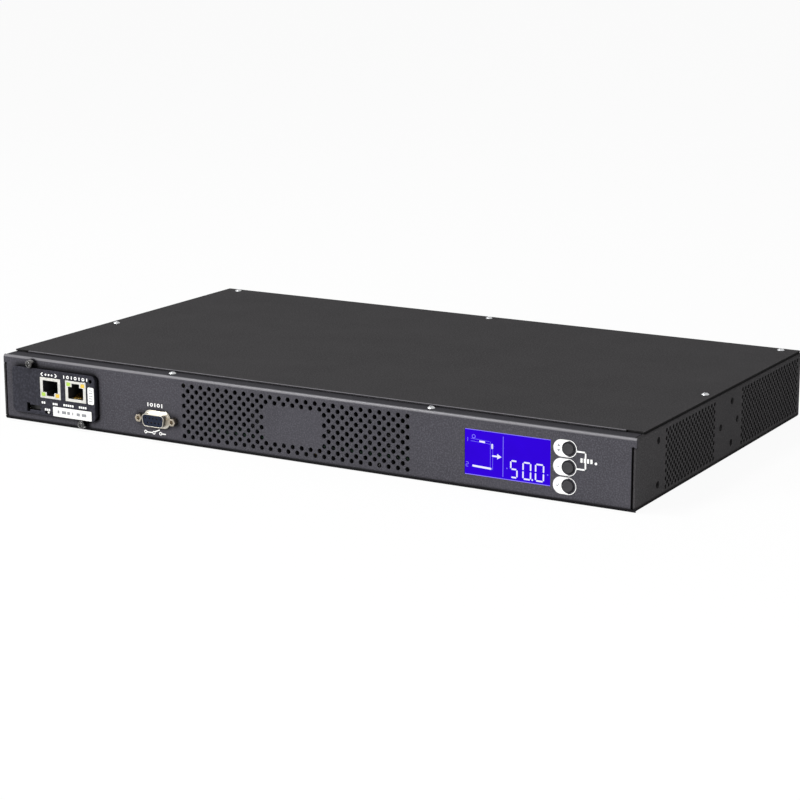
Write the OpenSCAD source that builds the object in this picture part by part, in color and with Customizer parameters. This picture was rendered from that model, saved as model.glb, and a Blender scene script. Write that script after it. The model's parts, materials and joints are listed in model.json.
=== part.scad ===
// Rack transfer switch, one rack unit high: a folded steel case with a network card,
// a serial port, a display with three buttons, and mains inlets and outlets at the rear.
// Origin: centre of the flat bottom. X runs right seen from the front, Y runs from the
// front panel to the rear wall, Z is up. Millimetres.

/* [Case] */
// Width over the side walls
body_w = 438; // [434:1:445]
// Depth from the front panel's face to the rear wall's face
body_d = 255; // [250:1:300]
// Height from the bottom to the top of the cover
body_h = 43.2; // [43:0.1:46]
// Thickness of the folded chassis sheet
sheet_t = 1.2; // [1:0.1:1.4]
// Thickness of the front panel sheet
panel_t = 1.5; // [1.2:0.1:1.8]
// Thickness of the top cover sheet
cover_t = 1; // [0.9:0.1:1.2]
// Outside radius of every fold
fold_r = 2; // [1.8:0.1:2.4]
// Depth of the front panel's top and bottom flanges
strip_d = 10.5; // [10:0.5:12]
// Gap between sheets that meet edge to edge
sheet_gap = 0.3; // [0.2:0.05:0.4]
// Depth of the inward flanges that the cover rests on
flange_d = 10; // [9.5:0.5:12]
// Width of the notch in each front corner of the cover
tongue_inset = 10; // [8:1:15]
// Depth of the notch in each front corner of the cover
notch_d = 1.4; // [1.2:0.1:1.8]
// Width of the open slit between the front panel and each side wall
slit_w = 1; // [0.6:0.1:1.2]
// Height of the slit's lower end
slit_low = 2.3; // [2.2:0.1:4]
// Height of solid metal above the slit
slit_margin = 5.8; // [5:0.1:6.4]
// Radius of the relief notch at each end of the slit
relief_r = 0.8; // [0.6:0.1:1]

/* [Case screws] */
// Radius of the screw thread
screw_r = 1.5; // [1.4:0.05:1.6]
// Radius of the countersunk head of a screw under the case
screw_head_r = 2.5; // [2.3:0.1:2.6]
// Radius of the domed head of a cover screw
pan_r = 2.3; // [2.2:0.05:2.5]
// Height of the domed head of a cover screw
pan_h = 1.2; // [1:0.05:1.2]
// Length of a case screw below its head
screw_len = 4; // [3:0.5:4]
// Radial clearance round a screw
screw_clear = 0.1; // [0.05:0.05:0.2]
// Distance of the strip screws from the front face
strip_screw_y = 6.6; // [6:0.1:7]
// Half the spacing of the two strip screws
strip_screw_x = 90.4; // [80:1:120]
// Sideways shift of the strip screws
strip_screw_mid = -2; // [-10:1:10]
// Distance of the rear cover screws from the rear face
rear_screw_y = 5.5; // [5:0.1:6]
// Distance of the outer rear screws from the side faces
rear_screw_edge = 11.5; // [10:0.5:19]
// Distance of the side cover screws from the side face
side_screw_x = 5.9; // [5:0.1:6.5]
// Distance of the side cover screws in front of the middle
side_screw_y = 16.5; // [0:0.5:40]

/* [Front vents] */
// Columns in a full row of front vent holes
vent_cols = 26; // [20:1:26]
// Rows of front vent holes
vent_rows = 11; // [9:2:11]
// Column pitch of the front vent holes
vent_pitch = 6.25; // [6:0.05:6.3]
// Row pitch of the front vent holes
vent_row_pitch = 3.15; // [3.1:0.01:3.2]
// Radius of a front vent hole
vent_r = 1.45; // [1.2:0.05:1.5]
// Sideways place of the middle of the front vents
vent_x = -1.6; // [-4:0.1:2]
// Last column of holes left of the bare field
field_first = 9; // [7:1:10]
// First column of holes right of the bare field
field_last = 16; // [15:1:18]

/* [Side vents] */
// Pitch of the side vent holes
side_pitch = 4.67; // [4.5:0.01:4.7]
// Radius of a side vent hole
side_r = 1.25; // [1:0.05:1.3]
// Rows of side vent holes, without the rows between them
side_rows = 8; // [6:1:8]
// Columns of holes in the front side vent
side_cols_front = 16; // [12:1:16]
// Columns of holes in the rear side vent
side_cols_rear = 21; // [12:1:21]
// Distance of the front side vent's first column from the front face
side_vent_front = 41.6; // [41:0.1:44]
// Distance of the rear side vent's first column from the front face
side_vent_rear = 155.9; // [155:0.1:156.5]

/* [Rack ear holes] */
// Radius of a rack ear hole
ear_r = 2.1; // [1.8:0.1:2.3]
// Vertical spacing of a pair of rack ear holes
ear_pitch = 25.4; // [25:0.1:26]
// Distance of the front ear holes from the front face
ear_front = 30.6; // [28:0.1:34]
// Distance of the middle upright pair from the front face
ear_mid = 139; // [137:0.1:141]
// Distance of the level pair's first hole from the front face
ear_level = 122; // [120:0.1:123]
// Spacing of the level pair
ear_level_pitch = 26; // [25:0.1:27]

/* [Network card] */
// Sideways place of the card's middle
card_x = -177.5; // [-178:0.1:-177]
// Width of the card's bracket
card_face_w = 64.6; // [63:0.1:65]
// Height of the card's bracket
card_face_h = 29.2; // [28.6:0.1:29.4]
// How far the bracket stands out of the front panel
card_out = 3; // [2.4:0.1:4]
// Corner radius of the bracket
card_face_r = 3; // [2:0.1:3.5]
// Thickness of the bracket's face
bracket_t = 1; // [0.8:0.1:1.2]
// Thickness of the bracket's rim
rim_t = 0.8; // [0.6:0.1:1]
// How far the face laps over the rim at the top and bottom
rim_inset = 0.6; // [0.5:0.1:0.8]
// Gap between the rim and the panel's opening at each side
card_gap = 1.3; // [0.6:0.1:1.5]
// Sideways distance of the upper card screw from the card's middle
card_screw_left = 18.1; // [14:0.1:20]
// Sideways distance of the lower card screw from the card's middle
card_screw_right = 21.9; // [20:0.1:24]
// Height of the card screws above and below the card's middle
card_screw_z = 17.2; // [17.15:0.05:17.2]
// Radius of a card screw's head
card_head_r = 2.5; // [2.3:0.1:2.5]
// Thickness of a card screw's head
card_head_t = 4.2; // [3.8:0.1:4.4]
// Length of a card screw below its head
card_screw_len = 3.4; // [3:0.1:3.4]
// Width of the card's circuit board
card_w = 60; // [58:0.5:60]
// Length of the card's circuit board
card_len = 100; // [85:1:104]
// Thickness of every circuit board
board_t = 1.6; // [1.5:0.1:1.7]
// Width of a network jack
jack_w = 16; // [15.8:0.1:16.2]
// Height of a network jack
jack_h = 13.2; // [13:0.1:13.4]
// Depth of a network jack
jack_d = 18; // [16:0.5:21]
// Sheet thickness of a jack's shield
shield_t = 0.4; // [0.3:0.05:0.4]
// Distance of the left jack from the card's middle
jack_left = 2.3; // [2:0.1:3]
// Distance of the right jack from the card's middle
jack_right = 17.6; // [17:0.1:18]
// Height of the jacks above the card's middle
jack_rise = 3.1; // [3:0.1:3.2]
// Width of a jack's plug opening
plug_w = 11.8; // [11.7:0.1:12]
// Height of a jack's plug opening without its latch notch
plug_h = 7.6; // [7.4:0.1:7.6]
// Height of the wall beside a jack's contacts
plug_wall = 1.8; // [1.7:0.1:2]
// Depth of a jack's plug opening
plug_d = 13; // [12:0.5:14]
// Width of a jack's latch notch
latch_w = 6; // [5.6:0.1:6.2]
// Distance of a jack's lights from its middle
light_x = 5.5; // [5.4:0.1:5.6]
// Width of a jack's light
light_w = 2.8; // [2.4:0.1:2.8]
// Height of a jack's light
light_h = 2.2; // [1.8:0.1:2.2]
// Radius of the card's reset button
reset_r = 0.7; // [0.6:0.05:0.75]
// Sideways distance of the reset button from the card's middle
reset_x = 4.8; // [4.5:0.1:5.5]
// Distance of the reset button below the card's middle
reset_drop = 12.8; // [12.6:0.1:12.9]
// Travel of the reset button
reset_travel = 0.4; // [0.3:0.05:0.5]

/* [Serial port] */
// Sideways place of the serial port's middle
serial_x = -99.5; // [-101:0.1:-98]
// Height of the serial port's middle
serial_z = 14; // [13.9:0.1:14.4]
// How far the serial shell stands out of the front panel
serial_out = 5.4; // [4:0.1:6]
// Width of the serial shell at its wide side
serial_w = 16.3; // [16:0.1:16.7]
// Height of the serial shell
serial_h = 7.8; // [7.7:0.1:8]
// Spacing of the two jack posts
post_pitch = 24.99; // [24.9:0.01:25.1]
// Radius of the thread in a jack post
post_thread_r = 1.2; // [1.1:0.05:1.3]
// Width of a jack post's hexagon across its flats
post_flats = 4.4; // [4.2:0.1:4.8]
// Length of a jack post's hexagon
post_len = 3.2; // [3:0.1:5]
// Pitch of the serial contacts in a row
pin_pitch = 2.77; // [2.7:0.01:2.8]
// Spacing of the two rows of serial contacts
pin_rows = 2.84; // [2.8:0.01:2.9]

/* [Display and buttons] */
// Sideways place of the display's middle
lcd_x = 140.7; // [139:0.1:142]
// Height of the display's middle
lcd_z = 21.7; // [21.5:0.1:21.8]
// Width of the display opening
lcd_w = 53.9; // [52:0.1:55]
// Height of the display opening
lcd_h = 26.7; // [24:0.1:27]
// Width of the display glass hidden behind the panel, at each edge
glass_lap = 2; // [1.5:0.1:2.1]
// Thickness of the display glass
glass_t = 1.8; // [1.6:0.1:2]
// Depth of the display's frame behind the panel
frame_d = 7.2; // [7:0.1:7.4]
// Sideways place of the buttons
button_x = 178.7; // [178:0.1:180]
// Height of the middle button
button_z = 20.6; // [20.5:0.1:20.8]
// Spacing of the buttons
button_pitch = 10.65; // [10.5:0.05:10.7]
// Radius of a button cap
button_r = 3.25; // [3:0.05:3.3]
// Radial gap between a cap and its hole
button_gap = 0.35; // [0.3:0.05:0.4]
// How far a cap stands out of the front panel
button_out = 1; // [0.7:0.1:1.2]
// Travel of a button
button_travel = 0.5; // [0.3:0.05:0.6]

/* [Inlets and outlets] */
// Height of the middle of the rear sockets
socket_z = 21.4; // [21.3:0.1:21.8]
// Space between neighbours along the rear wall
socket_gap = 3; // [2:0.1:3.4]
// Place of the first inlet's outer edge from the side face
socket_edge = 6; // [5.5:0.1:6.5]
// Width of the flange of a large inlet or outlet
large_w = 42; // [41:0.1:42]
// Height of the flange of a large inlet or outlet
large_h = 31; // [30.5:0.1:32]
// Pitch of the small outlets in a bank
outlet_pitch = 30.5; // [30:0.1:30.5]
// Outlets in each bank
outlet_count = 4; // [3:1:4]
// Height of an outlet bank's face
bank_h = 27; // [26:0.1:28]
// How far the flanges stand out of the rear wall
socket_out = 2; // [1.8:0.1:2.5]
// Depth of the socket bodies behind the rear wall
socket_d = 25; // [24.5:0.5:27]
// Length of the contact tails behind the sockets
tail_len = 8; // [8:0.5:9]
// Radius of a breaker's fixing nut
nut_r = 7.5; // [7:0.1:7.5]
// Radius of a breaker's threaded neck
neck_r = 5.5; // [5.3:0.1:5.6]
// Radius of a breaker's button
breaker_button_r = 3.2; // [3:0.1:3.4]
// How far a tripped breaker's button springs out
breaker_travel = 4.5; // [4:0.1:5]

/* [Boards inside] */
// Height of the boards' undersides above the bottom sheet
standoff_h = 5.2; // [5:0.1:5.4]
// Width of the power board
power_w = 410; // [406:1:414]
// Depth of the power board
power_d = 74; // [70:1:76]
// Space between the power board and the sockets' tails
power_back = 4; // [4:0.5:6]
// Width of the logic board
logic_w = 292; // [290:1:294]
// Depth of the logic board
logic_d = 73; // [68:1:76]

/* [Hidden] */
$fn = 48;
front_y = -body_d / 2;
rear_y = body_d / 2;
side_x = body_w / 2;
panel_back = front_y + panel_t;
wall_in = side_x - sheet_t;
cover_z = body_h - cover_t;
strip_z = cover_z;
mid_z = body_h / 2;
tongue_y = front_y + strip_d + sheet_gap;
cut = 1;
hole_r = screw_r + screw_clear;
head_h = screw_head_r - screw_r;
thin = 0.3;

slit_x = wall_in - slit_w;
slit_high = strip_z - slit_margin;

card_z = mid_z;
rim_h = card_face_h - 2 * rim_inset;
card_screw_at = [[card_x - card_screw_left, card_z + card_screw_z],
    [card_x + card_screw_right, card_z - card_screw_z]];
card_screw_r = 1.3;
card_hole_r = card_screw_r + screw_clear;
jack_y = front_y - card_out;
jack_at = [[card_x - jack_left, -1], [card_x + jack_right, 1]];
jack_mid = card_z + jack_rise;
card_top = jack_mid - jack_h / 2;
card_low = card_top - board_t;
card_y = panel_back + 1;
card_rear = card_y + card_len;
socket_reach = 7;
rail_w = 4;
rail_groove = 1.5;
rail_z = card_top + 4;
rail_y = tongue_y + 3;
backplane_y = card_rear + 2.4;
backplane_z = 4;
reset_z = card_z - reset_drop;

serial_flare = 1.6;
serial_rim = 1.4;
serial_body = 11;
serial_tail = 2.4;

board_z = sheet_t + standoff_h;
board_top = board_z + board_t;
logic_gap = 5.5;
logic_x = card_x + card_w / 2 + logic_gap + logic_w / 2;
logic_y = front_y + 15.5;
display_y = panel_back + frame_d;
display_left = lcd_x - lcd_w / 2 - 8.5;
display_right = button_x + 22;
display_low = 4.5;
display_high = strip_z - panel_t - cover_t - 1.4;
frame_lap = glass_lap + 0.8;
switch_d = 3.5;
window_in = 0.2;
window_gap = 0.1;
cap_flange = 1;
cap_flange_r = button_r + 1.1;
stem_r = 1.6;
stem_in = 0.8;

socket_y = rear_y - sheet_t;
inlet_1_x = -side_x + socket_edge + large_w / 2;
inlet_2_x = inlet_1_x + large_w + socket_gap;
breaker_1_x = inlet_2_x + large_w / 2 + socket_gap + nut_r;
bank_w = outlet_count * outlet_pitch + 2;
bank_a_x = breaker_1_x + nut_r + socket_gap + bank_w / 2;
breaker_2_x = bank_a_x + bank_w / 2 + socket_gap + nut_r;
bank_b_x = breaker_2_x + nut_r + socket_gap + bank_w / 2;
large_outlet_x = bank_b_x + bank_w / 2 + socket_gap + large_w / 2;
socket_face = rear_y + socket_out;
socket_back = socket_y - socket_d;
tail_y = socket_back - tail_len;
power_y = tail_y - power_back - power_d;
large_pins = [[6.5, -4], [-6.5, -4], [0, 4]];
small_pins = [[7, -2], [-7, -2], [0, 2]];
cavity_d = 19;
moat_d = 17;
pocket_lip = 2;
pocket_d = 20;
bar_t = 1;
line_bar_z = socket_z - 10;
earth_bar_z = socket_z + 9;
short_tail = tail_len - 2.5;
lead_r = 1.6;
outlet_xs = [for (b = [bank_a_x, bank_b_x], i = [0:outlet_count - 1])
    b + (i - (outlet_count - 1) / 2) * outlet_pitch];

// ---- shapes used by several sub-parts ----

// A plan outline with round corners, centred.
module round_rect(w, h, r) {
    square([w - 2 * r, h], center = true);
    square([w, h - 2 * r], center = true);
    for (x = [-1, 1], y = [-1, 1])
        translate([x * (w / 2 - r), y * (h / 2 - r)])
            circle(r);
}

// The corner of an outline that a fold's outside radius takes away.
module corner_cut(r) {
    difference() {
        translate([-cut, -cut])
            square(r + cut);
        translate([r, r])
            circle(r);
    }
}

// An outline in X and Z, extruded from y back by depth.
module from_front(y, depth) {
    translate([0, y + depth, 0])
        rotate([90, 0, 0])
            linear_extrude(depth)
                children();
}

// An outline in Y and Z, extruded from x by width.
module from_side(x, width) {
    translate([x, 0, 0])
        rotate([90, 0, 90])
            linear_extrude(width)
                children();
}

// A convex outline with round corners about the given centres, listed anticlockwise.
function edge_normal(a, b) = let (d = b - a) [d.y, -d.x] / norm(d);
module round_outline(centres, r) {
    n = len(centres);
    polygon([for (i = [0:n - 1], k = [-1, 0])
        centres[i] + r * edge_normal(centres[(i + k + n) % n], centres[(i + k + 1) % n])]);
    for (c = centres)
        translate(c)
            circle(r);
}

// A cross recess cut down from the top of a screw head at z = 0.
module cross_recess(w, deep = 0.6, bar = 0.6) {
    for (a = [0, 90])
        rotate(a)
            translate([-w / 2, -bar / 2, -deep])
                cube([w, bar, 2 * deep]);
}

// A strip of sheet along a line of points, in a plane, with the bends mitred.
function mitre(a, b, c) = let (m = edge_normal(a, b) + edge_normal(b, c)) 2 * m / (m * m);
module strip_path(points, t) {
    last = len(points) - 1;
    side = [for (i = [0:last])
        i == 0 ? edge_normal(points[0], points[1])
        : i == last ? edge_normal(points[last - 1], points[last])
        : mitre(points[i - 1], points[i], points[i + 1])];
    polygon(concat([for (i = [0:last]) points[i] + side[i] * t / 2],
        [for (i = [last:-1:0]) points[i] - side[i] * t / 2]));
}

// A box given by its low corner and its size in X, Y and Z.
module box(x, y, z, w, d, h) {
    translate([x, y, z])
        cube([w, d, h]);
}

// A round bar through the given points.
module lead(points, r) {
    for (i = [0:len(points) - 2]) {
        a = points[i];
        d = points[i + 1] - a;
        flat = norm([d.x, d.y]);
        translate(a)
            rotate([0, atan2(flat, d.z), atan2(d.y, d.x)])
                cylinder(h = norm(d), r = r, $fn = 24);
    }
    for (i = [1:len(points) - 2])
        translate(points[i])
            sphere(r, $fn = 24);
}

// ---- case ----

// Places of the case screws: those of the cover first, then those under the front panel.
strip_screws = [for (s = [-1, 1])
    [strip_screw_mid + s * strip_screw_x, front_y + strip_screw_y]];
rear_screws = [for (x = [rear_screw_edge - side_x, strip_screw_mid, side_x - rear_screw_edge])
    [x, rear_y - rear_screw_y]];
side_screws = [for (s = [-1, 1]) [s * (side_x - side_screw_x), -side_screw_y]];
under_screw_at = [for (i = [-1.5:1:1.5]) [i * body_w / 4, front_y + strip_screw_y]];

module screw_hole(p, z, up = 1) {
    translate([p.x, p.y, z])
        mirror([0, 0, up > 0 ? 0 : 1]) {
            if (up < 0)
                translate([0, 0, -head_h])
                    cylinder(h = head_h + 0.01, r1 = hole_r, r2 = screw_head_r + screw_clear);
            translate([0, 0, -screw_len])
                cylinder(h = screw_len + 0.01, r = hole_r);
        }
}

// A screw with a domed head on top of the sheet.
module pan_screw(p, z) {
    dome_r = 1.3 * pan_r;
    translate([p.x, p.y, z])
        difference() {
            union() {
                intersection() {
                    cylinder(h = pan_h, r = pan_r);
                    translate([0, 0, pan_h - dome_r])
                        sphere(dome_r);
                }
                translate([0, 0, -screw_len])
                    cylinder(h = screw_len + 0.1, r = screw_r);
            }
            translate([0, 0, pan_h])
                cross_recess(pan_r * 1.1);
        }
}

// A screw whose head is sunk into the underside.
module flush_screw(p) {
    translate([p.x, p.y, 0])
        mirror([0, 0, 1])
            difference() {
                union() {
                    translate([0, 0, -head_h])
                        cylinder(h = head_h, r1 = screw_r, r2 = screw_head_r);
                    translate([0, 0, -head_h - screw_len])
                        cylinder(h = screw_len + 0.01, r = screw_r);
                }
                cross_recess(screw_head_r * 1.2);
            }
}

module case_screws() {
    color("silver") {
        for (p = strip_screws)
            pan_screw(p, strip_z);
        for (p = concat(rear_screws, side_screws))
            pan_screw(p, body_h);
    }
}

module under_screws() {
    color("silver")
        for (p = under_screw_at)
            flush_screw(p);
}

// Full and half-shifted columns of the staggered vents, in X and Z.
module front_vents() {
    for (row = [0:vent_rows - 1]) {
        odd = row % 2;
        bare = row > 1 && row < vent_rows - 2;
        for (col = [0:vent_cols - 1 - odd])
            if (!bare || col + odd <= field_first || col >= field_last)
                translate([vent_x + (col + odd / 2 - (vent_cols - 1) / 2) * vent_pitch,
                        mid_z + ((vent_rows - 1) / 2 - row) * vent_row_pitch])
                    circle(vent_r);
    }
}

// A staggered side vent from a first column, in Y and Z.
module side_vents(start, cols) {
    for (row = [0:2 * side_rows - 2]) {
        odd = row % 2;
        for (col = [0:cols - 1 - odd])
            translate([front_y + start + (col + odd / 2) * side_pitch,
                    mid_z + (row / 2 - (side_rows - 1) / 2) * side_pitch])
                circle(side_r);
    }
}

// Rack ear holes: two upright pairs and one level pair, in Y and Z.
module ear_holes() {
    for (y = [ear_front, ear_mid], s = [-0.5, 0.5])
        translate([front_y + y, mid_z + s * ear_pitch])
            circle(ear_r);
    for (s = [0, 1])
        translate([front_y + ear_level + s * ear_level_pitch, mid_z])
            circle(ear_r);
}

module side_wall_outline() {
    low = fold_r;
    high = cover_z - fold_r;
    difference() {
        union() {
            translate([panel_back + sheet_gap, low])
                square([rear_y - panel_back - sheet_gap, high - low]);
            translate([front_y, slit_low + sheet_gap])
                square([panel_t + 2 * sheet_gap, slit_high - slit_low - 2 * sheet_gap]);
        }
        side_vents(side_vent_front, side_cols_front);
        side_vents(side_vent_rear, side_cols_rear);
        ear_holes();
    }
}

// The fold along the bottom of a side wall, in X and Z, at the right side.
module bottom_fold_outline() {
    difference() {
        translate([side_x - fold_r - sheet_t, 0])
            square([fold_r + sheet_t, fold_r]);
        translate([side_x - fold_r - sheet_t - cut, sheet_t])
            square([fold_r + cut, fold_r]);
        translate([side_x, 0])
            mirror([1, 0])
                corner_cut(fold_r);
    }
}

// The inward flange along the top of a side wall, in X and Z, at the right side.
module top_fold_outline() {
    difference() {
        translate([side_x - flange_d, cover_z - fold_r])
            square([flange_d, fold_r]);
        translate([side_x - flange_d - cut, cover_z - fold_r - cut])
            square([flange_d - sheet_t + cut, fold_r - sheet_t + cut]);
        translate([side_x, cover_z])
            rotate(180)
                corner_cut(fold_r);
    }
}

// The front end of a side wall's top fold, beside the front panel's flange.
module top_fold_end_outline() {
    difference() {
        translate([wall_in, cover_z - fold_r])
            square([sheet_t, fold_r]);
        translate([side_x, cover_z])
            rotate(180)
                corner_cut(fold_r);
    }
}

module bottom_sheet() {
    tongue_z = panel_t;
    tongue_w = 2 * (wall_in - tongue_inset);
    rear_fold = fold_r + sheet_t;
    difference() {
        union() {
            box(-side_x + fold_r, tongue_y, 0,
                body_w - 2 * fold_r, rear_y - fold_r - tongue_y, sheet_t);
            box(-tongue_w / 2, tongue_y, 0, tongue_w, sheet_t, tongue_z + sheet_t);
            box(-tongue_w / 2, panel_back + cut, tongue_z,
                tongue_w, tongue_y + sheet_t - panel_back - cut, sheet_t);
            from_side(-wall_in + sheet_gap, 2 * (wall_in - sheet_gap))
                difference() {
                    translate([rear_y - rear_fold, 0])
                        square([rear_fold, fold_r]);
                    translate([rear_y - rear_fold - cut, sheet_t])
                        square([fold_r + cut, fold_r]);
                    translate([rear_y, 0])
                        mirror([1, 0])
                            corner_cut(fold_r);
                }
        }
        for (p = under_screw_at)
            screw_hole(p, 0, -1);
    }
}

// The rear wall's openings, in X and Z.
module rear_openings() {
    for (x = [inlet_1_x, inlet_2_x, large_outlet_x])
        translate([x, socket_z])
            square([large_w - 6 + 2 * thin, large_h - 4 + 2 * thin], center = true);
    for (x = [bank_a_x, bank_b_x])
        translate([x, socket_z])
            square([bank_w - 4 + 2 * thin, bank_h - 4 + 2 * thin], center = true);
    for (x = [breaker_1_x, breaker_2_x])
        translate([x, socket_z])
            circle(neck_r + thin);
}

module rear_wall() {
    rear_w = 2 * (wall_in - sheet_gap);
    from_front(rear_y - sheet_t, sheet_t)
        difference() {
            translate([-rear_w / 2, fold_r])
                square([rear_w, cover_z - 2 * fold_r]);
            rear_openings();
        }
    difference() {
        from_side(-rear_w / 2 + flange_d, rear_w - 2 * flange_d)
            difference() {
                translate([rear_y - flange_d - cut, cover_z - fold_r])
                    square([flange_d + cut, fold_r]);
                translate([rear_y - flange_d - 2 * cut, cover_z - fold_r - cut])
                    square([flange_d - sheet_t + 2 * cut, fold_r - sheet_t + cut]);
                translate([rear_y, cover_z])
                    rotate(180)
                        corner_cut(fold_r);
            }
        for (p = rear_screws)
            screw_hole(p, body_h);
    }
}

module side_wall() {
    fold_start = tongue_y + cover_t + sheet_gap;
    from_side(wall_in, sheet_t)
        side_wall_outline();
    from_front(panel_back + sheet_gap, rear_y - panel_back - sheet_gap)
        difference() {
            bottom_fold_outline();
            square([2 * wall_in, 2 * fold_r], center = true);
        }
    from_front(tongue_y, rear_y - tongue_y)
        bottom_fold_outline();
    from_front(panel_back + sheet_gap, rear_y - panel_back - sheet_gap)
        top_fold_end_outline();
    difference() {
        from_front(fold_start, rear_y - fold_start)
            top_fold_outline();
        for (p = concat(side_screws, rear_screws))
            screw_hole(p, body_h);
    }
}

module chassis() {
    color("dimgray") {
        bottom_sheet();
        rear_wall();
        side_wall();
        mirror([1, 0, 0])
            side_wall();
    }
}

module front_openings() {
    front_vents();
    translate([card_x, card_z])
        round_rect(card_face_w + 2 * card_gap, rim_h + 2 * thin, card_face_r);
    for (p = card_screw_at)
        translate(p)
            circle(card_hole_r);
    translate([serial_x, serial_z])
        serial_outline(serial_flare);
    for (s = [-0.5, 0.5])
        translate([serial_x + s * post_pitch, serial_z])
            circle(hole_r);
    translate([lcd_x, lcd_z])
        square([lcd_w, lcd_h], center = true);
    for (i = [-1:1])
        translate([button_x, button_z + i * button_pitch])
            circle(button_r + button_gap);
    for (s = [-1, 1]) {
        translate([s * (slit_x + side_x + cut) / 2, (slit_low + slit_high) / 2])
            square([side_x + cut - slit_x, slit_high - slit_low], center = true);
        for (z = [slit_low, slit_high])
            translate([s * (slit_x + slit_w / 2), z])
                circle(relief_r);
    }
}

// The folded front panel: a face with a flange along its top and its bottom edge.
module front_panel() {
    flange_w = 2 * (wall_in - sheet_gap);
    color("dimgray")
        difference() {
            union() {
                from_front(front_y, panel_t)
                    difference() {
                        translate([-side_x, fold_r])
                            square([body_w, strip_z - 2 * fold_r]);
                        front_openings();
                    }
                from_side(-side_x, body_w)
                    panel_edge_outline(panel_t);
                from_side(-flange_w / 2, flange_w)
                    panel_edge_outline(strip_d);
            }
            for (p = strip_screws)
                screw_hole(p, strip_z);
            for (p = under_screw_at)
                screw_hole(p, 0, -1);
        }
}

// Top and bottom folds of the front panel, in Y and Z, cut to a depth.
module panel_edge_outline(depth) {
    for (top = [0, 1])
        translate([front_y, top * strip_z])
            mirror([0, top])
                difference() {
                    square([depth, fold_r]);
                    translate([panel_t, panel_t])
                        square([strip_d, fold_r]);
                    corner_cut(fold_r);
                }
}

module top_cover() {
    plate_w = 2 * (side_x - sheet_gap);
    tongue_w = 2 * (wall_in - tongue_inset);
    low = strip_z - panel_t - cover_t;
    color("dimgray")
        difference() {
            union() {
                translate([0, 0, cover_z])
                    linear_extrude(cover_t)
                        difference() {
                            translate([0, (tongue_y + rear_y) / 2])
                                round_rect(plate_w, rear_y - tongue_y, 1);
                            for (x = [-plate_w / 2 - cut, tongue_w / 2])
                                translate([x, tongue_y - cut])
                                    square([tongue_inset + 2 * cut, notch_d + cut]);
                        }
                box(-tongue_w / 2, tongue_y, low, tongue_w, cover_t, cover_z - low + cover_t / 2);
                box(-tongue_w / 2, panel_back + cut, low,
                    tongue_w, tongue_y - panel_back - cut + cover_t, cover_t);
            }
            for (p = strip_screws)
                screw_hole(p, strip_z);
            for (p = concat(rear_screws, side_screws))
                screw_hole(p, body_h);
        }
}

// ---- network card ----

// Openings in the bracket's face, about the card's middle, in X and Z.
module card_openings() {
    for (j = jack_at)
        translate([j[0] - card_x, jack_rise])
            square([jack_w + 2 * sheet_gap, jack_h + 2 * sheet_gap], center = true);
    translate([-16, -10.7])
        square([11, 3.4], center = true);
    translate([-20.2, -10.8])
        square([2.6, 5.8], center = true);
    translate([-reset_x, -reset_drop]) {
        square([2.8, 1.8], center = true);
        for (x = [-1.4, 1.4])
            translate([x, 0])
                circle(0.9);
    }
    translate([29.3, 11])
        circle(1.3);
}

module card_bracket() {
    tab_r = card_head_r + 0.4;
    color("darkslategray") {
        difference() {
            union() {
                from_front(jack_y, bracket_t)
                    translate([card_x, card_z])
                        round_rect(card_face_w, card_face_h, card_face_r);
                from_front(jack_y, card_out + panel_t + 1)
                    translate([card_x, card_z])
                        difference() {
                            round_rect(card_face_w, rim_h, card_face_r);
                            round_rect(card_face_w - 2 * rim_t, rim_h - 2 * rim_t,
                                card_face_r - rim_t);
                        }
            }
            from_front(jack_y - cut, card_out + panel_t + 3)
                translate([card_x, card_z])
                    card_openings();
        }
        from_front(front_y - bracket_t, bracket_t)
            difference() {
                for (p = card_screw_at, z = [p.y, card_z + (rim_h - rim_t) / 2 * sign(p.y - card_z)]) {
                    translate(p)
                        circle(tab_r);
                    translate([p.x - tab_r, min(p.y, z)])
                        square([2 * tab_r, abs(p.y - z) + 0.01]);
                }
                for (p = card_screw_at)
                    translate(p)
                        circle(card_hole_r);
                translate([card_x, card_z])
                    square([card_face_w, rim_h - 2 * rim_t], center = true);
            }
    }
}

module card_screws() {
    color("silver")
        for (p = card_screw_at)
            translate([p.x, front_y - bracket_t, p.y])
                rotate([90, 0, 0])
                    difference() {
                        union() {
                            intersection() {
                                cylinder(h = card_head_t, r = card_head_r);
                                translate([0, 0, card_head_t - 1.6 * card_head_r])
                                    sphere(1.6 * card_head_r);
                            }
                            translate([0, 0, -card_screw_len])
                                cylinder(h = card_screw_len + 0.1, r = card_screw_r);
                        }
                        translate([0, 0, card_head_t])
                            cross_recess(card_head_r * 1.2, 1, 0.8);
                    }
}

module card_board() {
    color("darkgreen") {
        box(card_x - card_w / 2, card_y, card_low, card_w, card_len - socket_reach - 1, board_t);
        box(card_x - 22, card_y, card_low, 44, card_len, board_t);
    }
}

// Parts on a board: each is a low corner in X and Y, then its width, depth and height.
module parts_on(z, list) {
    for (c = list)
        box(c[0], c[1], z, c[2], c[3], c[4]);
}

module card_chips() {
    color("black") {
        parts_on(card_top, [[card_x - 8, card_y + 40, 16, 16, 1.6],
            [card_x + 14, card_y + 44, 10, 8, 1.2],
            [card_x - 24, card_y + 44, 8, 12, 1.2],
            [card_x - 10, card_y + 20, 16, 12, 6],
            [card_x + 12, card_y + 20, 14, 10, 5],
            [card_x - 26, card_y + 70, 12, 10, 4]]);
        box(card_x - 23, card_y, card_low - 8.5, 14, 12, 8.5);
    }
}

module card_backplane() {
    color("darkgreen")
        box(card_x - card_w / 2, backplane_y, backplane_z, card_w, board_t, 32);
}

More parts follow.
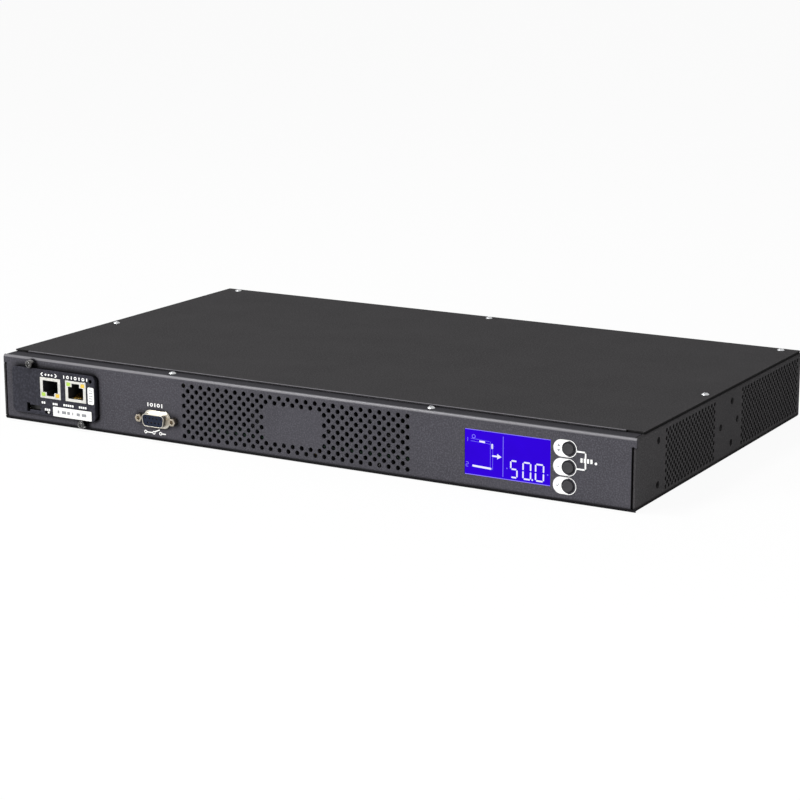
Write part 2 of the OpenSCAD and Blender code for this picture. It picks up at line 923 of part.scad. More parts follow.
module card_socket() {
    y = card_rear - socket_reach;
    color("ivory")
        difference() {
            box(card_x - 25, y, card_low - 3.4, 50, backplane_y - y, board_t + 6.8);
            box(card_x - 22.4, y - cut, card_low - 0.2,
                44.8, card_rear + 0.4 - y + cut, board_t + 0.4);
        }
}

module card_rails() {
    rail_len = backplane_y + board_t + 2 - rail_y;
    color("ivory")
        difference() {
            for (s = [-1, 1])
                box(card_x + s * (card_w / 2 - rail_groove + rail_w / 2) - rail_w / 2, rail_y,
                    sheet_t, rail_w, rail_len, rail_z - sheet_t);
            box(card_x - card_w / 2 - 0.1, rail_y - cut, card_low,
                card_w + 0.2, backplane_y - rail_y + cut, board_t + 0.2);
            box(card_x - card_w / 2 - 0.1, backplane_y - 0.1, backplane_z,
                card_w + 0.2, board_t + 0.2, rail_z);
        }
}

// The left jack has its latch notch below the plug, and the right one above it.
module at_jack(i) {
    translate([jack_at[i][0], jack_y, jack_mid])
        mirror([0, 0, jack_at[i][1] < 0 ? 1 : 0])
            children();
}

plug_low = -jack_h / 2 + plug_wall;

module jack_opening() {
    translate([-plug_w / 2, plug_low])
        square([plug_w, plug_h]);
    translate([-latch_w / 2, plug_low])
        square([latch_w, jack_h - plug_wall - 1.5]);
}

// One light's outline: the green one is at the left, the amber one at the right.
module light_outline(side, gap = 0) {
    translate([side * light_x, jack_h / 2 - 2.3])
        square([light_w + 2 * gap, light_h + 2 * gap], center = true);
}

module jack_box(inset, start, end) {
    translate([-jack_w / 2 + inset, start, -jack_h / 2 + inset])
        cube([jack_w - 2 * inset, end - start, jack_h - 2 * inset]);
}

module jack_shield(i) {
    color("silver")
        at_jack(i)
            difference() {
                jack_box(0, 0, jack_d);
                jack_box(shield_t, shield_t, jack_d + cut);
                from_front(-cut, 2 * cut) {
                    jack_opening();
                    light_outline(-1, 0.1);
                    light_outline(1, 0.1);
                }
            }
}

module ethernet_shield() {
    jack_shield(0);
}

module settings_shield() {
    jack_shield(1);
}

module jack_inserts() {
    color("black")
        for (i = [0, 1])
            at_jack(i)
                difference() {
                    jack_box(shield_t, shield_t, jack_d - 1);
                    from_front(-cut, plug_d + cut)
                        jack_opening();
                    from_front(-cut, jack_d + cut) {
                        light_outline(-1);
                        light_outline(1);
                    }
                }
}

module jack_contacts() {
    wire_r = 0.22;
    floor_z = plug_low + wire_r + 0.02;
    color("gold")
        for (i = [0, 1])
            at_jack(i)
                for (k = [-3.5:1:3.5])
                    lead([[k * 1.02, plug_d, floor_z], [k * 1.02, 2.6, floor_z],
                        [k * 1.02, 8.6, floor_z + 2.2]], wire_r);
}

module jack_light(side) {
    for (i = [0, 1])
        at_jack(i)
            from_front(0, jack_d - 1)
                light_outline(side);
}

module green_lights() {
    color("yellowgreen")
        jack_light(-1);
}

module amber_lights() {
    color("orange")
        jack_light(1);
}

switch_front = jack_y + 7;

module reset_button() {
    color("white")
        from_front(jack_y + 0.6, switch_front + stem_in - jack_y - 0.6)
            translate([card_x - reset_x, reset_z])
                circle(reset_r);
}

module reset_switch() {
    well = stem_in + reset_travel + 0.3;
    color("dimgray")
        difference() {
            box(card_x - reset_x - 3.2, switch_front, reset_z - 2.6,
                6.4, 6, card_low - reset_z + 2.6);
            from_front(switch_front - cut, well + cut)
                translate([card_x - reset_x, reset_z])
                    circle(reset_r + 0.2);
        }
}

// ---- serial port ----

// The shell's outline, wide side up, about its middle in X and Z.
module serial_outline(grow = 0) {
    r = 2.55;
    half = serial_h / 2 - r;
    top_x = serial_w / 2 - r;
    low_x = top_x - 2 * half * tan(10);
    round_outline([[-low_x, -half], [low_x, -half], [top_x, half], [-top_x, half]], r + grow);
}

serial_wall = 0.4;
serial_flange_t = 0.8;
serial_face = front_y - serial_out + 0.5;
serial_back = panel_back + serial_flange_t + serial_body;
serial_holes = concat(
    [for (k = [-2:1:2]) [serial_x + k * pin_pitch, serial_z + pin_rows / 2]],
    [for (k = [-1.5:1:1.5]) [serial_x + k * pin_pitch, serial_z - pin_rows / 2]]);

module serial_shell() {
    color("tan")
        difference() {
            union() {
                from_front(front_y - serial_out, serial_out + panel_t + serial_flange_t)
                    translate([serial_x, serial_z])
                        serial_outline();
                from_front(front_y - 0.5, panel_t + 0.5)
                    translate([serial_x, serial_z])
                        serial_outline(serial_rim);
                from_front(panel_back, serial_flange_t)
                    translate([serial_x, serial_z])
                        round_rect(30.8, 12.2, 1.5);
            }
            from_front(front_y - serial_out - cut, serial_out + panel_t + 3)
                translate([serial_x, serial_z])
                    serial_outline(-serial_wall);
            from_front(panel_back - cut, 3)
                for (s = [-0.5, 0.5])
                    translate([serial_x + s * post_pitch, serial_z])
                        circle(hole_r);
        }
}

module serial_insulator() {
    color("midnightblue")
        difference() {
            union() {
                from_front(serial_face, panel_back + serial_flange_t - serial_face)
                    translate([serial_x, serial_z])
                        serial_outline(-serial_wall);
                box(serial_x - 9.6, panel_back + serial_flange_t, board_top,
                    19.2, serial_body, serial_z + 6 - board_top);
            }
            from_front(serial_face - cut, serial_back - serial_face + 2 * cut)
                for (p = serial_holes)
                    translate(p)
                        circle(0.55);
        }
}

module serial_contacts() {
    start = serial_face + 1;
    color("gold")
        for (p = serial_holes) {
            bend = serial_back + (p.y > serial_z ? serial_tail + 1.4 : 1.2);
            difference() {
                from_front(start, serial_back - start)
                    translate(p)
                        circle(0.5);
                from_front(start - cut, 5 + cut)
                    translate(p)
                        circle(0.3);
            }
            lead([[p.x, serial_back - cut, p.y], [p.x, bend, p.y], [p.x, bend, board_top]], 0.3);
        }
}

module serial_jackposts() {
    color("silver")
        for (s = [-0.5, 0.5])
            difference() {
                union() {
                    from_front(front_y - post_len, post_len)
                        translate([serial_x + s * post_pitch, serial_z])
                            circle(post_flats / 2 / cos(30), $fn = 6);
                    from_front(front_y - cut, panel_t + serial_flange_t + 1.2 + cut)
                        translate([serial_x + s * post_pitch, serial_z])
                            circle(screw_r);
                }
                from_front(front_y - post_len - cut, post_len)
                    translate([serial_x + s * post_pitch, serial_z])
                        circle(post_thread_r);
            }
}

// ---- display and buttons ----

board_screw_r = 1.25;
board_head_r = 2.3;
board_head_h = 1.5;
board_screw_len = 5;
display_post_at = [for (x = [display_left + 2.9, display_right - 3.5],
    z = [display_low + 4, display_high - 4]) [x, z]];

module lcd_outline(grow) {
    translate([lcd_x, lcd_z])
        square([lcd_w + 2 * grow, lcd_h + 2 * grow], center = true);
}

module display_glass() {
    color("blue")
        union() {
            from_front(panel_back, glass_t)
                lcd_outline(glass_lap);
            from_front(front_y + window_in, panel_t - window_in + glass_t / 2)
                lcd_outline(-window_gap);
        }
}

module display_frame() {
    color("black")
        difference() {
            from_front(panel_back, frame_d)
                lcd_outline(frame_lap);
            from_front(panel_back - cut, glass_t + cut)
                lcd_outline(glass_lap);
        }
}

module display_board() {
    color("darkgreen")
        from_front(display_y, board_t)
            difference() {
                translate([display_left, display_low])
                    square([display_right - display_left, display_high - display_low]);
                for (p = display_post_at)
                    translate(p)
                        circle(board_screw_r + screw_clear);
            }
}

module display_posts() {
    color("gainsboro")
        difference() {
            from_front(panel_back, frame_d)
                for (p = display_post_at)
                    translate(p)
                        circle(2.2);
            from_front(display_y - 4, 4 + cut)
                for (p = display_post_at)
                    translate(p)
                        circle(board_screw_r + screw_clear);
        }
}

module button(i) {
    color("darkgray")
        translate([button_x, 0, button_z + (2 - i) * button_pitch]) {
            from_front(front_y - button_out, button_out + panel_t + cap_flange)
                circle(button_r);
            from_front(panel_back, cap_flange)
                circle(cap_flange_r);
            from_front(panel_back, frame_d - switch_d + stem_in)
                circle(stem_r);
        }
}

module button_1() {
    button(1);
}

module button_2() {
    button(2);
}

module button_3() {
    button(3);
}

module button_switches() {
    well = stem_in + button_travel + 0.3;
    color("dimgray")
        for (i = [1:3])
            translate([button_x, display_y - switch_d, button_z + (2 - i) * button_pitch])
                difference() {
                    from_front(0, switch_d)
                        square(7, center = true);
                    from_front(-cut, well + cut)
                        circle(stem_r + 0.2);
                }
}

ribbon_x = logic_x + logic_w / 2 - 15;
header_w = 24;
header_z = 25;
header_y = display_y + board_t + 7;
header_top = board_top + 7;
ribbon_y = header_y + 12;

module ribbon_headers() {
    color("black") {
        box(ribbon_x - header_w / 2, header_y - 7, header_z - 3, header_w, 7, 6);
        box(ribbon_x - header_w / 2, ribbon_y - 3, board_top, header_w, 6, 7);
    }
}

module display_ribbon() {
    color("lightgray")
        from_side(ribbon_x - header_w / 2 + 2, header_w - 4)
            strip_path([[header_y, header_z], [ribbon_y - 6, header_z],
                [ribbon_y, header_z - 5], [ribbon_y, header_top]], 0.8);
}

// ---- boards ----

logic_screw_at = [for (x = [-1, 0, 1], y = [logic_y + 4, logic_y + logic_d - 5])
    [logic_x + x * (logic_w / 2 - 5), y]];
power_screw_at = [for (x = [-power_w / 2 + 4, breaker_1_x - 5, 45, power_w / 2 - 4],
    y = [power_y + 4, power_y + power_d - 20]) [x, y]];

module board(at) {
    color("darkgreen")
        translate([0, 0, board_z])
            linear_extrude(board_t)
                difference() {
                    children();
                    for (p = at)
                        translate(p)
                            circle(board_screw_r + screw_clear);
                }
}

module logic_board() {
    board(logic_screw_at) {
        translate([logic_x - logic_w / 2, logic_y])
            square([logic_w, logic_d]);
        translate([serial_x - 20, panel_back + 3])
            square([40, logic_y - panel_back]);
    }
}

module power_board() {
    board(power_screw_at)
        translate([-power_w / 2, power_y])
            square([power_w, power_d]);
}

module board_standoffs() {
    color("gold")
        for (p = concat(logic_screw_at, power_screw_at))
            translate([p.x, p.y, sheet_t])
                difference() {
                    cylinder(h = standoff_h, r = 2.6);
                    translate([0, 0, standoff_h - 4])
                        cylinder(h = 4 + cut, r = board_screw_r + screw_clear);
                }
}

module board_screw() {
    difference() {
        union() {
            cylinder(h = board_head_h, r = board_head_r);
            translate([0, 0, -board_screw_len])
                cylinder(h = board_screw_len + 0.1, r = board_screw_r);
        }
        translate([0, 0, board_head_h])
            cross_recess(board_head_r * 1.2);
    }
}

module board_screws() {
    color("silver") {
        for (p = concat(logic_screw_at, power_screw_at))
            translate([p.x, p.y, board_top])
                board_screw();
        for (p = display_post_at)
            translate([p.x, display_y + board_t, p.y])
                rotate([-90, 0, 0])
                    board_screw();
    }
}

module logic_chips() {
    back = logic_y + 30;
    color("black") {
        parts_on(board_top, [[logic_x - 20, back, 20, 20, 2], [logic_x + 20, back, 14, 10, 2],
            [logic_x + 50, back, 10, 16, 2], [logic_x - 60, back, 18, 11, 2.4],
            [logic_x - 96, back + 2, 12, 8, 2], [logic_x + 80, back, 24, 14, 9],
            [logic_x - 130, back, 20, 24, 8]]);
        for (x = [-50, -34, 30, 46])
            translate([logic_x + x, logic_y + 16, board_top])
                cylinder(h = 11, r = 5);
    }
}

relay_xs = [-100, -60, -20, 20];

module transfer_relays() {
    color("black")
        for (x = relay_xs)
            difference() {
                box(x - 14, power_y + 12, board_top, 28, 36, 24);
                box(x - 12, power_y + 14, board_top + 23.4, 24, 32, cut);
            }
}

module filter_capacitors() {
    color("steelblue") {
        for (i = [0:2])
            box(11 - power_w / 2 + i * 26, power_y + 14, board_top, 18, 10, 15);
        for (x = [62, 84])
            translate([x, power_y + 24, board_top])
                cylinder(h = 28, r = 9);
    }
}

module current_sensors() {
    z = socket_z + large_pins[0].y;
    ring_r = z - board_top;
    color("firebrick")
        for (x = [inlet_1_x, inlet_2_x])
            from_front(power_y + 46, 9)
                translate([x + large_pins[0].x, z])
                    difference() {
                        union() {
                            circle(ring_r);
                            translate([-ring_r, -ring_r])
                                square([2 * ring_r, 2]);
                        }
                        circle(4.5);
                    }
}

transformer_xs = [120, 168];
transformer_y = power_y + 30;

module transformer_cores() {
    color("gray")
        for (x = transformer_xs)
            from_front(transformer_y - 9, 18)
                translate([x, board_top])
                    difference() {
                        translate([-20, 0])
                            square([40, 32]);
                        for (s = [-13, 6])
                            translate([s, 6])
                                square([7, 20]);
                    }
}

module transformer_windings() {
    color("peru")
        for (x = transformer_xs)
            translate([x, transformer_y, board_top + 6])
                linear_extrude(20)
                    difference() {
                        square([26, 30], center = true);
                        square([12, 18], center = true);
                    }
}

// ---- inlets, outlets and breakers ----

// A large flanged body set in the rear wall.
module large_body(x) {
    from_front(rear_y, socket_out)
        translate([x, socket_z])
            round_rect(large_w, large_h, 3);
    from_front(socket_back, rear_y - socket_back + socket_out / 2)
        translate([x, socket_z])
            square([large_w - 6, large_h - 4], center = true);
}

module source_inlet(x) {
    cavity_y = socket_face - cavity_d;
    color("black")
        difference() {
            large_body(x);
            from_front(cavity_y, cavity_d + cut)
                translate([x, socket_z])
                    round_rect(30, 21.5, 3);
            from_front(socket_back - cut, cavity_y - socket_back + 2 * cut)
                for (p = large_pins)
                    translate([x + p.x, socket_z + p.y])
                        square([8, 2], center = true);
        }
}

module source_inlet_1() {
    source_inlet(inlet_1_x);
}

module source_inlet_2() {
    source_inlet(inlet_2_x);
}

// The flat tails of a large inlet or outlet: the earth tail rises to the earth bar.
module large_tail(x, p, length) {
    earth = p.x == 0;
    far = earth ? short_tail : length;
    box(x + p.x - 3.15, socket_back - far, socket_z + p.y - 0.4, 6.3, far, 0.8);
    if (earth)
        box(x - 3.15, socket_back - sheet_gap - 0.8, socket_z + p.y,
            6.3, 0.8, earth_bar_z - socket_z - p.y);
}

module inlet_pins() {
    color("silver")
        for (x = [inlet_1_x, inlet_2_x], p = large_pins) {
            reach = p.x == 0 ? cavity_d - 1.5 : cavity_d - 3;
            from_front(socket_back, socket_face - cavity_d + reach - socket_back)
                translate([x + p.x, socket_z + p.y])
                    square([8, 2], center = true);
            large_tail(x, p, tail_len);
        }
}

// A plug outline with its two upper corners cut away.
module plug_outline(w, h, corner) {
    polygon([[-w / 2, -h / 2], [w / 2, -h / 2], [w / 2, h / 2 - corner],
        [w / 2 - corner, h / 2], [-w / 2 + corner, h / 2], [-w / 2, h / 2 - corner]]);
}

pocket_y = socket_face - pocket_lip - pocket_d;

// The slot, the pocket behind it and the way out for the tail of one contact.
module contact_cut(x, z, slot, tail) {
    translate([x, 0, z]) {
        from_front(socket_face - pocket_lip - cut, pocket_lip + 2 * cut)
            square(slot, center = true);
        from_front(pocket_y, pocket_d)
            square([slot.x + 0.6, slot.y + 0.6], center = true);
        from_front(socket_back - cut, pocket_y - socket_back + 2 * cut)
            square(tail, center = true);
    }
}

module contact_sleeve(x, z, slot) {
    translate([x, 0, z]) {
        from_front(pocket_y, pocket_d)
            difference() {
                square([slot.x + 0.6, slot.y + 0.6], center = true);
                square([slot.x - 0.2, slot.y - 0.2], center = true);
            }
        from_front(pocket_y, 1)
            square([slot.x + 0.6, slot.y + 0.6], center = true);
    }
}

small_slot = [2.4, 4.4];
small_tail = [0.8, 4.4];
large_slot = [8.6, 2.4];
large_tail_size = [6.3, 0.8];

module outlet_bank(x) {
    color("black")
        difference() {
            union() {
                from_front(rear_y, socket_out)
                    translate([x, socket_z])
                        round_rect(bank_w, bank_h, 2);
                from_front(socket_back, rear_y - socket_back + socket_out / 2)
                    translate([x, socket_z])
                        square([bank_w - 4, bank_h - 4], center = true);
            }
            for (i = [0:outlet_count - 1])
                translate([x + (i - (outlet_count - 1) / 2) * outlet_pitch, 0, socket_z]) {
                    from_front(socket_face - moat_d, moat_d + cut)
                        difference() {
                            plug_outline(28.3, 20.6, 5.3);
                            plug_outline(23.8, 16.1, 4);
                        }
                    for (p = small_pins)
                        contact_cut(p.x, p.y, small_slot, small_tail);
                }
        }
}

module outlet_bank_a() {
    outlet_bank(bank_a_x);
}

module outlet_bank_b() {
    outlet_bank(bank_b_x);
}

module large_outlet() {
    color("black")
        difference() {
            large_body(large_outlet_x);
            translate([large_outlet_x, 0, socket_z]) {
                from_front(socket_face - moat_d, moat_d + cut)
                    difference() {
                        round_rect(33.8, 25.2, 3);
                        round_rect(29.4, 20.8, 1);
                    }
                for (p = large_pins)
                    contact_cut(p.x, p.y, large_slot, large_tail_size);
            }
        }
}

module outlet_contacts() {
    color("gold") {
        for (x = outlet_xs, i = [0:2]) {
            p = small_pins[i];
            at = [x + p.x, socket_z + p.y];
            far = i == 1 ? tail_len : short_tail;
            low = i == 0 ? line_bar_z + bar_t : at.y - small_tail.y / 2;
            high = i == 2 ? earth_bar_z : at.y + small_tail.y / 2;
            contact_sleeve(at.x, at.y, small_slot);
            box(at.x - small_tail.x / 2, socket_back - cut, at.y - small_tail.y / 2,
                small_tail.x, pocket_y - socket_back + 2 * cut, small_tail.y);
            box(at.x - small_tail.x / 2, socket_back - far, low,
                small_tail.x, far - sheet_gap, high - low);
        }
        for (p = large_pins) {
            contact_sleeve(large_outlet_x + p.x, socket_z + p.y, large_slot);
            from_front(socket_back - cut, pocket_y - socket_back + 2 * cut)
                translate([large_outlet_x + p.x, socket_z + p.y])
                    square(large_tail_size, center = true);
            large_tail(large_outlet_x, p, p.x > 0 ? short_tail : tail_len);
        }
    }
}

breaker_back = socket_back + 1;
breaker_floor = socket_y - 8;
neck_out = 4;
neck_bore = breaker_button_r + 0.3;
shoulder_r = breaker_button_r + 1.1;

module breaker(x) {
    color("black")
        translate([x, 0, socket_z])
            difference() {
                union() {
                    from_front(breaker_back, socket_y - breaker_back)
                        square([15, 28], center = true);
                    from_front(socket_y - cut, sheet_t + neck_out + cut)
                        circle(neck_r);
                }
                from_front(breaker_floor, socket_y - 1 - breaker_floor)
                    circle(shoulder_r + 0.3);
                from_front(breaker_floor, rear_y + neck_out + cut - breaker_floor)
                    circle(neck_bore);
            }
}

module breaker_1() {
    breaker(breaker_1_x);
}

module breaker_2() {
    breaker(breaker_2_x);
}

module breaker_button(x) {
    color("white")
        translate([x, 0, socket_z]) {
            from_front(breaker_floor, rear_y + neck_out + 1 - breaker_floor)
                circle(breaker_button_r);
            from_front(breaker_floor, 1.5)
                circle(shoulder_r);
        }
}

module breaker_button_1() {
    breaker_button(breaker_1_x);
}

module breaker_button_2() {
    breaker_button(breaker_2_x);
}

module breaker_nuts() {
    color("silver")
        for (x = [breaker_1_x, breaker_2_x])
            from_front(rear_y, 2.5)
                translate([x, socket_z])
                    difference() {
                        circle(nut_r, $fn = 6);
                        circle(neck_r);
                    }
}

// ---- wiring ----

bar_y = socket_back - short_tail;
bar_d = short_tail - sheet_gap;

module line_bars() {
    color("peru")
        for (b = [[breaker_1_x, bank_a_x], [breaker_2_x, bank_b_x]]) {
            box(b[0] - 3.15, bar_y, line_bar_z, b[1] + bank_w / 2 - b[0], bar_d, bar_t);
            box(b[0] - 3.15, bar_y, line_bar_z, 6.3, breaker_back - bar_y, bar_t);
        }
}

module neutral_bar() {
    low = socket_z + small_pins[1].y - small_tail.y / 2;
    left = outlet_xs[0] + small_pins[1].x - 2;
    right = large_outlet_x + large_pins[1].x + 3;
    color("peru")
        box(left, tail_y - bar_t, low, right - left, bar_t, small_tail.y);
}

module earth_bar() {
    left = inlet_1_x - 4;
    color("peru")
        box(left, bar_y, earth_bar_z, large_outlet_x + 4 - left, bar_d, bar_t);
}

// Leads drop to the power board from each end point at the rear.
module drop_lead(x, y, z, down_y) {
    lead([[x, y, z], [x, down_y, z], [x, down_y, board_top]], lead_r);
}

module power_leads() {
    pin_z = socket_z + large_pins[0].y;
    bar_mid = socket_z + small_pins[1].y;
    color("darkred") {
        for (x = [inlet_1_x, inlet_2_x]) {
            drop_lead(x + large_pins[0].x, tail_y, pin_z, power_y + 40);
            drop_lead(x + large_pins[1].x, tail_y, pin_z, power_y + power_d - 4);
        }
        for (x = [breaker_1_x, breaker_2_x])
            drop_lead(x, breaker_back, socket_z + 7, power_y + power_d - 5);
        for (x = [outlet_xs[0] - 2, bank_b_x - 42])
            drop_lead(x, tail_y - bar_t, bar_mid, power_y + power_d - 4);
        drop_lead(large_outlet_x + large_pins[0].x, bar_y, pin_z, power_y + power_d - 8);
    }
}

chassis();
front_panel();
top_cover();
case_screws();
under_screws();
card_bracket();
card_screws();
card_board();
card_chips();
card_backplane();
card_socket();
card_rails();
ethernet_shield();
settings_shield();
jack_inserts();
jack_contacts();
green_lights();
amber_lights();
reset_button();
reset_switch();
serial_shell();
serial_insulator();
serial_contacts();
serial_jackposts();
display_glass();
display_frame();
display_board();
display_posts();
button_1();
button_2();
button_3();
button_switches();
ribbon_headers();
display_ribbon();
logic_board();
logic_chips();
power_board();
board_standoffs();
board_screws();
transfer_relays();
filter_capacitors();
current_sensors();
transformer_cores();
transformer_windings();
source_inlet_1();
source_inlet_2();
inlet_pins();
outlet_bank_a();
outlet_bank_b();
large_outlet();
outlet_contacts();
breaker_1();
breaker_2();
breaker_button_1();
breaker_button_2();
breaker_nuts();
line_bars();
neutral_bar();
earth_bar();
power_leads();
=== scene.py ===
"""Looks of a one-unit rack transfer switch: prints, display, controls and finishes."""
import json
import math

import bmesh
import bpy
from mathutils import Matrix, Vector


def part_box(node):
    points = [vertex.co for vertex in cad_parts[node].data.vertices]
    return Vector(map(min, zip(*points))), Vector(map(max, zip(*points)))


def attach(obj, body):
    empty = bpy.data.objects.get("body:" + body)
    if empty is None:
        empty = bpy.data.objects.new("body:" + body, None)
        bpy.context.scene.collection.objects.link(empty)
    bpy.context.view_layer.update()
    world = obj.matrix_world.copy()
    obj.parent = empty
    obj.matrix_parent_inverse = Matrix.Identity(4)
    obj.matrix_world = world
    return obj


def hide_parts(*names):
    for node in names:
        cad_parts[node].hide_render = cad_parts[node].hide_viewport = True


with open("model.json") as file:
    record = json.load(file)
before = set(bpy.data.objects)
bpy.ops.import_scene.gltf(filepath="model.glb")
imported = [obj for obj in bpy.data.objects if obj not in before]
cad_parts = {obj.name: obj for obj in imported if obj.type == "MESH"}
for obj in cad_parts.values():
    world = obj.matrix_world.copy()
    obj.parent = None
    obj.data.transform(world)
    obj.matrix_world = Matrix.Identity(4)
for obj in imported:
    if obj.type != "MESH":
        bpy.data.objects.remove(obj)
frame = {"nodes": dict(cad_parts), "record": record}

bl_info = {
    "name": "Rack transfer switch",
    "version": (1, 0, 0),
    "blender": (4, 5, 0),
    "location": "3D View > Sidebar > Transfer switch",
    "description": "Prints, display, controls and finishes of a one-unit rack transfer switch",
    "category": "Object",
}

MM = 0.001
CASE = "case"                         # the body that every fixed piece rides on

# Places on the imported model, in millimetres.
FACE_Y = -127.5                       # front of the steel panel
GLASS_Y = -127.3                      # front of the display window
CARD_Y = -130.5                       # front of the network card's plate
REAR_Y = 127.5                        # outside of the rear wall
SIDE_X = 219.0                        # outside of the side walls
STRIP_Z = 42.2                        # top of the front panel
COVER_Y, COVER_Z = -116.8, 43.2       # front upper edge of the cover
SLIT_X, SLIT_Z = 217.3, (2.3, 36.4)   # middle and ends of the open slit at the panel's right end
SOCKET_Z = 21.4                       # middle height of the rear sockets
WINDOW_X = (113.95, 167.45)           # left and right ends of the display window
WINDOW_Z = (8.35, 35.05)              # its lower and upper edge
BUTTON_X = 178.7                      # middle of the three front buttons
BUTTON_ZS = (31.25, 20.6, 9.95)       # heights of their middles

# Roughness and specular level of each coat: the case is nearly matt, the plate the smoothest.
CASE_COAT = (0.9, 0.05)
PANEL_COAT = (0.75, 0.08)
PLATE_COAT = (0.6, 0.05)
CLOUD_SIZE = 38.0                     # size of the faint clouds of tone, mm
SPECK_SHARE = 0.7                     # how strongly a pale speck covers the coat
HOLLOW_SHADE_REACH = 4.0                    # how near other sheet must be for painted shade in a hole or a seam, mm
PAINTED_SHADE_TONE = 0.08                    # share of the coat's tone that painted shade leaves inside them
LINE_SHADE_TONE = 0.15                     # share that is left under a line of painted shadow
FOLD_GLINT_METAL = 0.35                   # metallic share on a fold that carries a painted highlight
FOLD_GLINT_ROUGH = 0.42                   # its roughness
# Oil on black steel: it mirrors more than plain oil does, so that it shows on a small head.
OIL_FILM = {"Coat Weight": 1.0, "Coat Roughness": 0.08, "Coat IOR": 1.7}

NOISE = (0.3, 0.7)                    # what most of a noise pattern lies between
MASK = (0.0, 1.0)                     # what a mask runs between
WAVE_LENGTH = 0.314                   # length of one wave of the wave texture at scale 1, m

# A print's finish, and the record's material slot that it stands for.
WHITE_PRINT = ("white_screen_print", "white_plastic")
GREY_PRINT = ("grey_label_print", "grey_plastic")

# The stage, in metres and watts: name, place, size and power of each soft light.
SOFTBOXES = (
    ("front_softbox", (-1.3, -2.3, 0.75), 0.9, 46.0),
    ("overhead_softbox", (-0.75, -0.5, 1.55), 0.4, 13.5),
    ("side_softbox", (1.0, -0.75, 0.4), 0.4, 5.5),
)
LIGHT_TARGET = (0, 0, 0.02)           # what every soft light points at
ROOM_STRENGTH = 0.4                   # light of the surroundings on the switch
PAPER_WHITE = 0.93                    # share of the floor's tone that is plain white
CAMERA_PLACE = (0.69465, -1.20835, 0.34338)
CAMERA_TURN = (76.605, 0.068, 29.943)        # degrees about X, Y and Z
CAMERA_LENS, CAMERA_SENSOR = 100.96, 36.0    # focal length and width of the sensor, mm
CAMERA_RANGE = (0.05, 60.0)                  # nearest and farthest point that it sees


# ---- sizes and colours ----

def length(name, text, default):
    """A length property in metres, written in millimetres."""
    return bpy.props.FloatProperty(name=name, description=text, default=default * MM,
                                   min=0.0, unit="LENGTH", subtype="DISTANCE", precision=5)


def linear(hex_colour):
    """An sRGB hex colour as linear red, green and blue with full alpha."""
    channels = [int(hex_colour[i:i + 2], 16) / 255 for i in (0, 2, 4)]
    return tuple(c / 12.92 if c <= 0.04045 else ((c + 0.055) / 1.055) ** 2.4
                 for c in channels) + (1.0,)


def colour(name, text, default):
    """A colour property."""
    return bpy.props.FloatVectorProperty(name=name, description=text, default=linear(default),
                                         size=4, min=0.0, max=1.0, subtype="COLOR")


class SwitchColours(bpy.types.PropertyGroup):
    """Main colours of the switch."""
    case: colour("Case", "Powder coat of the case and its cover", "353435")
    panel: colour("Panel", "Powder coat of the front panel", "3D3C41")
    bracket: colour("Card plate", "Paint of the network card's plate", "2B2B31")
    ink: colour("Ink", "White screen print on the panel", "F4F4F2")
    lamp: colour("Backlight", "Blue light behind the display", "3600F0")
    glow: colour("Display marks", "Clear parts of the display", "F0EEFF")


class SwitchSizes(bpy.types.PropertyGroup):
    """Sizes of the prints and small details."""
    ink: length("Ink", "Thickness of the screen print", 0.03)
    label: length("Label", "Thickness of a vinyl label", 0.08)
    ring: length("Ring", "Width of the ring printed round each button", 0.35)
    stroke: length("Stroke", "Width of the printed bracket", 0.85)
    coat: length("Coat grain", "Size of the grain in the powder coat", 0.55)
    relief: length("Coat relief", "Height of the grain in the powder coat", 0.02)


# ---- shader nodes ----

def add_node(tree, kind, inputs=None, **settings):
    """One shader node with its settings. Each input is a plain value or a socket to link from."""
    node = tree.nodes.new(kind)
    for key, value in settings.items():
        setattr(node, key, value)
    for key, value in (inputs or {}).items():
        if isinstance(value, bpy.types.NodeSocket):
            tree.links.new(value, node.inputs[key])
        else:
            node.inputs[key].default_value = value
    return node


def new_material(name):
    """The empty node tree of a new material, and the place on the object."""
    made = bpy.data.materials.new(name)
    made.use_nodes = True
    tree = made.node_tree
    tree.nodes.clear()
    return tree, add_node(tree, "ShaderNodeTexCoord").outputs["Object"]


def finish_material(tree, inputs):
    """Ends a material in one Principled shader with these inputs."""
    shader = add_node(tree, "ShaderNodeBsdfPrincipled", inputs)
    add_node(tree, "ShaderNodeOutputMaterial", {"Surface": shader.outputs["BSDF"]})


def shade(rgba, factor):
    """A colour made darker or lighter."""
    return tuple(min(1.0, c * factor) for c in rgba[:3]) + (1.0,)


def grain(tree, place, size, detail=3.0, stretch=(1, 1, 1)):
    """Noise whose spots are about size millimetres across, stretched along the axes."""
    scaled = add_node(tree, "ShaderNodeMapping",
                      {"Vector": place, "Scale": tuple(1.0 / (size * MM * s) for s in stretch)})
    return add_node(tree, "ShaderNodeTexNoise",
                    {"Vector": scaled.outputs["Vector"], "Scale": 1.0, "Detail": detail,
                     "Roughness": 0.6}).outputs["Fac"]


def laid_over(tree, under, over, pattern, span=NOISE, share=1.0):
    """One tone laid over another as a pattern crosses a span, up to a share of the whole."""
    cover = add_node(tree, "ShaderNodeMapRange",
                     {"Value": pattern, "From Min": span[0], "From Max": span[1], "To Max": share})
    return add_node(tree, "ShaderNodeMix", {"Factor": cover.outputs["Result"], 6: under, 7: over},
                    data_type="RGBA").outputs[2]


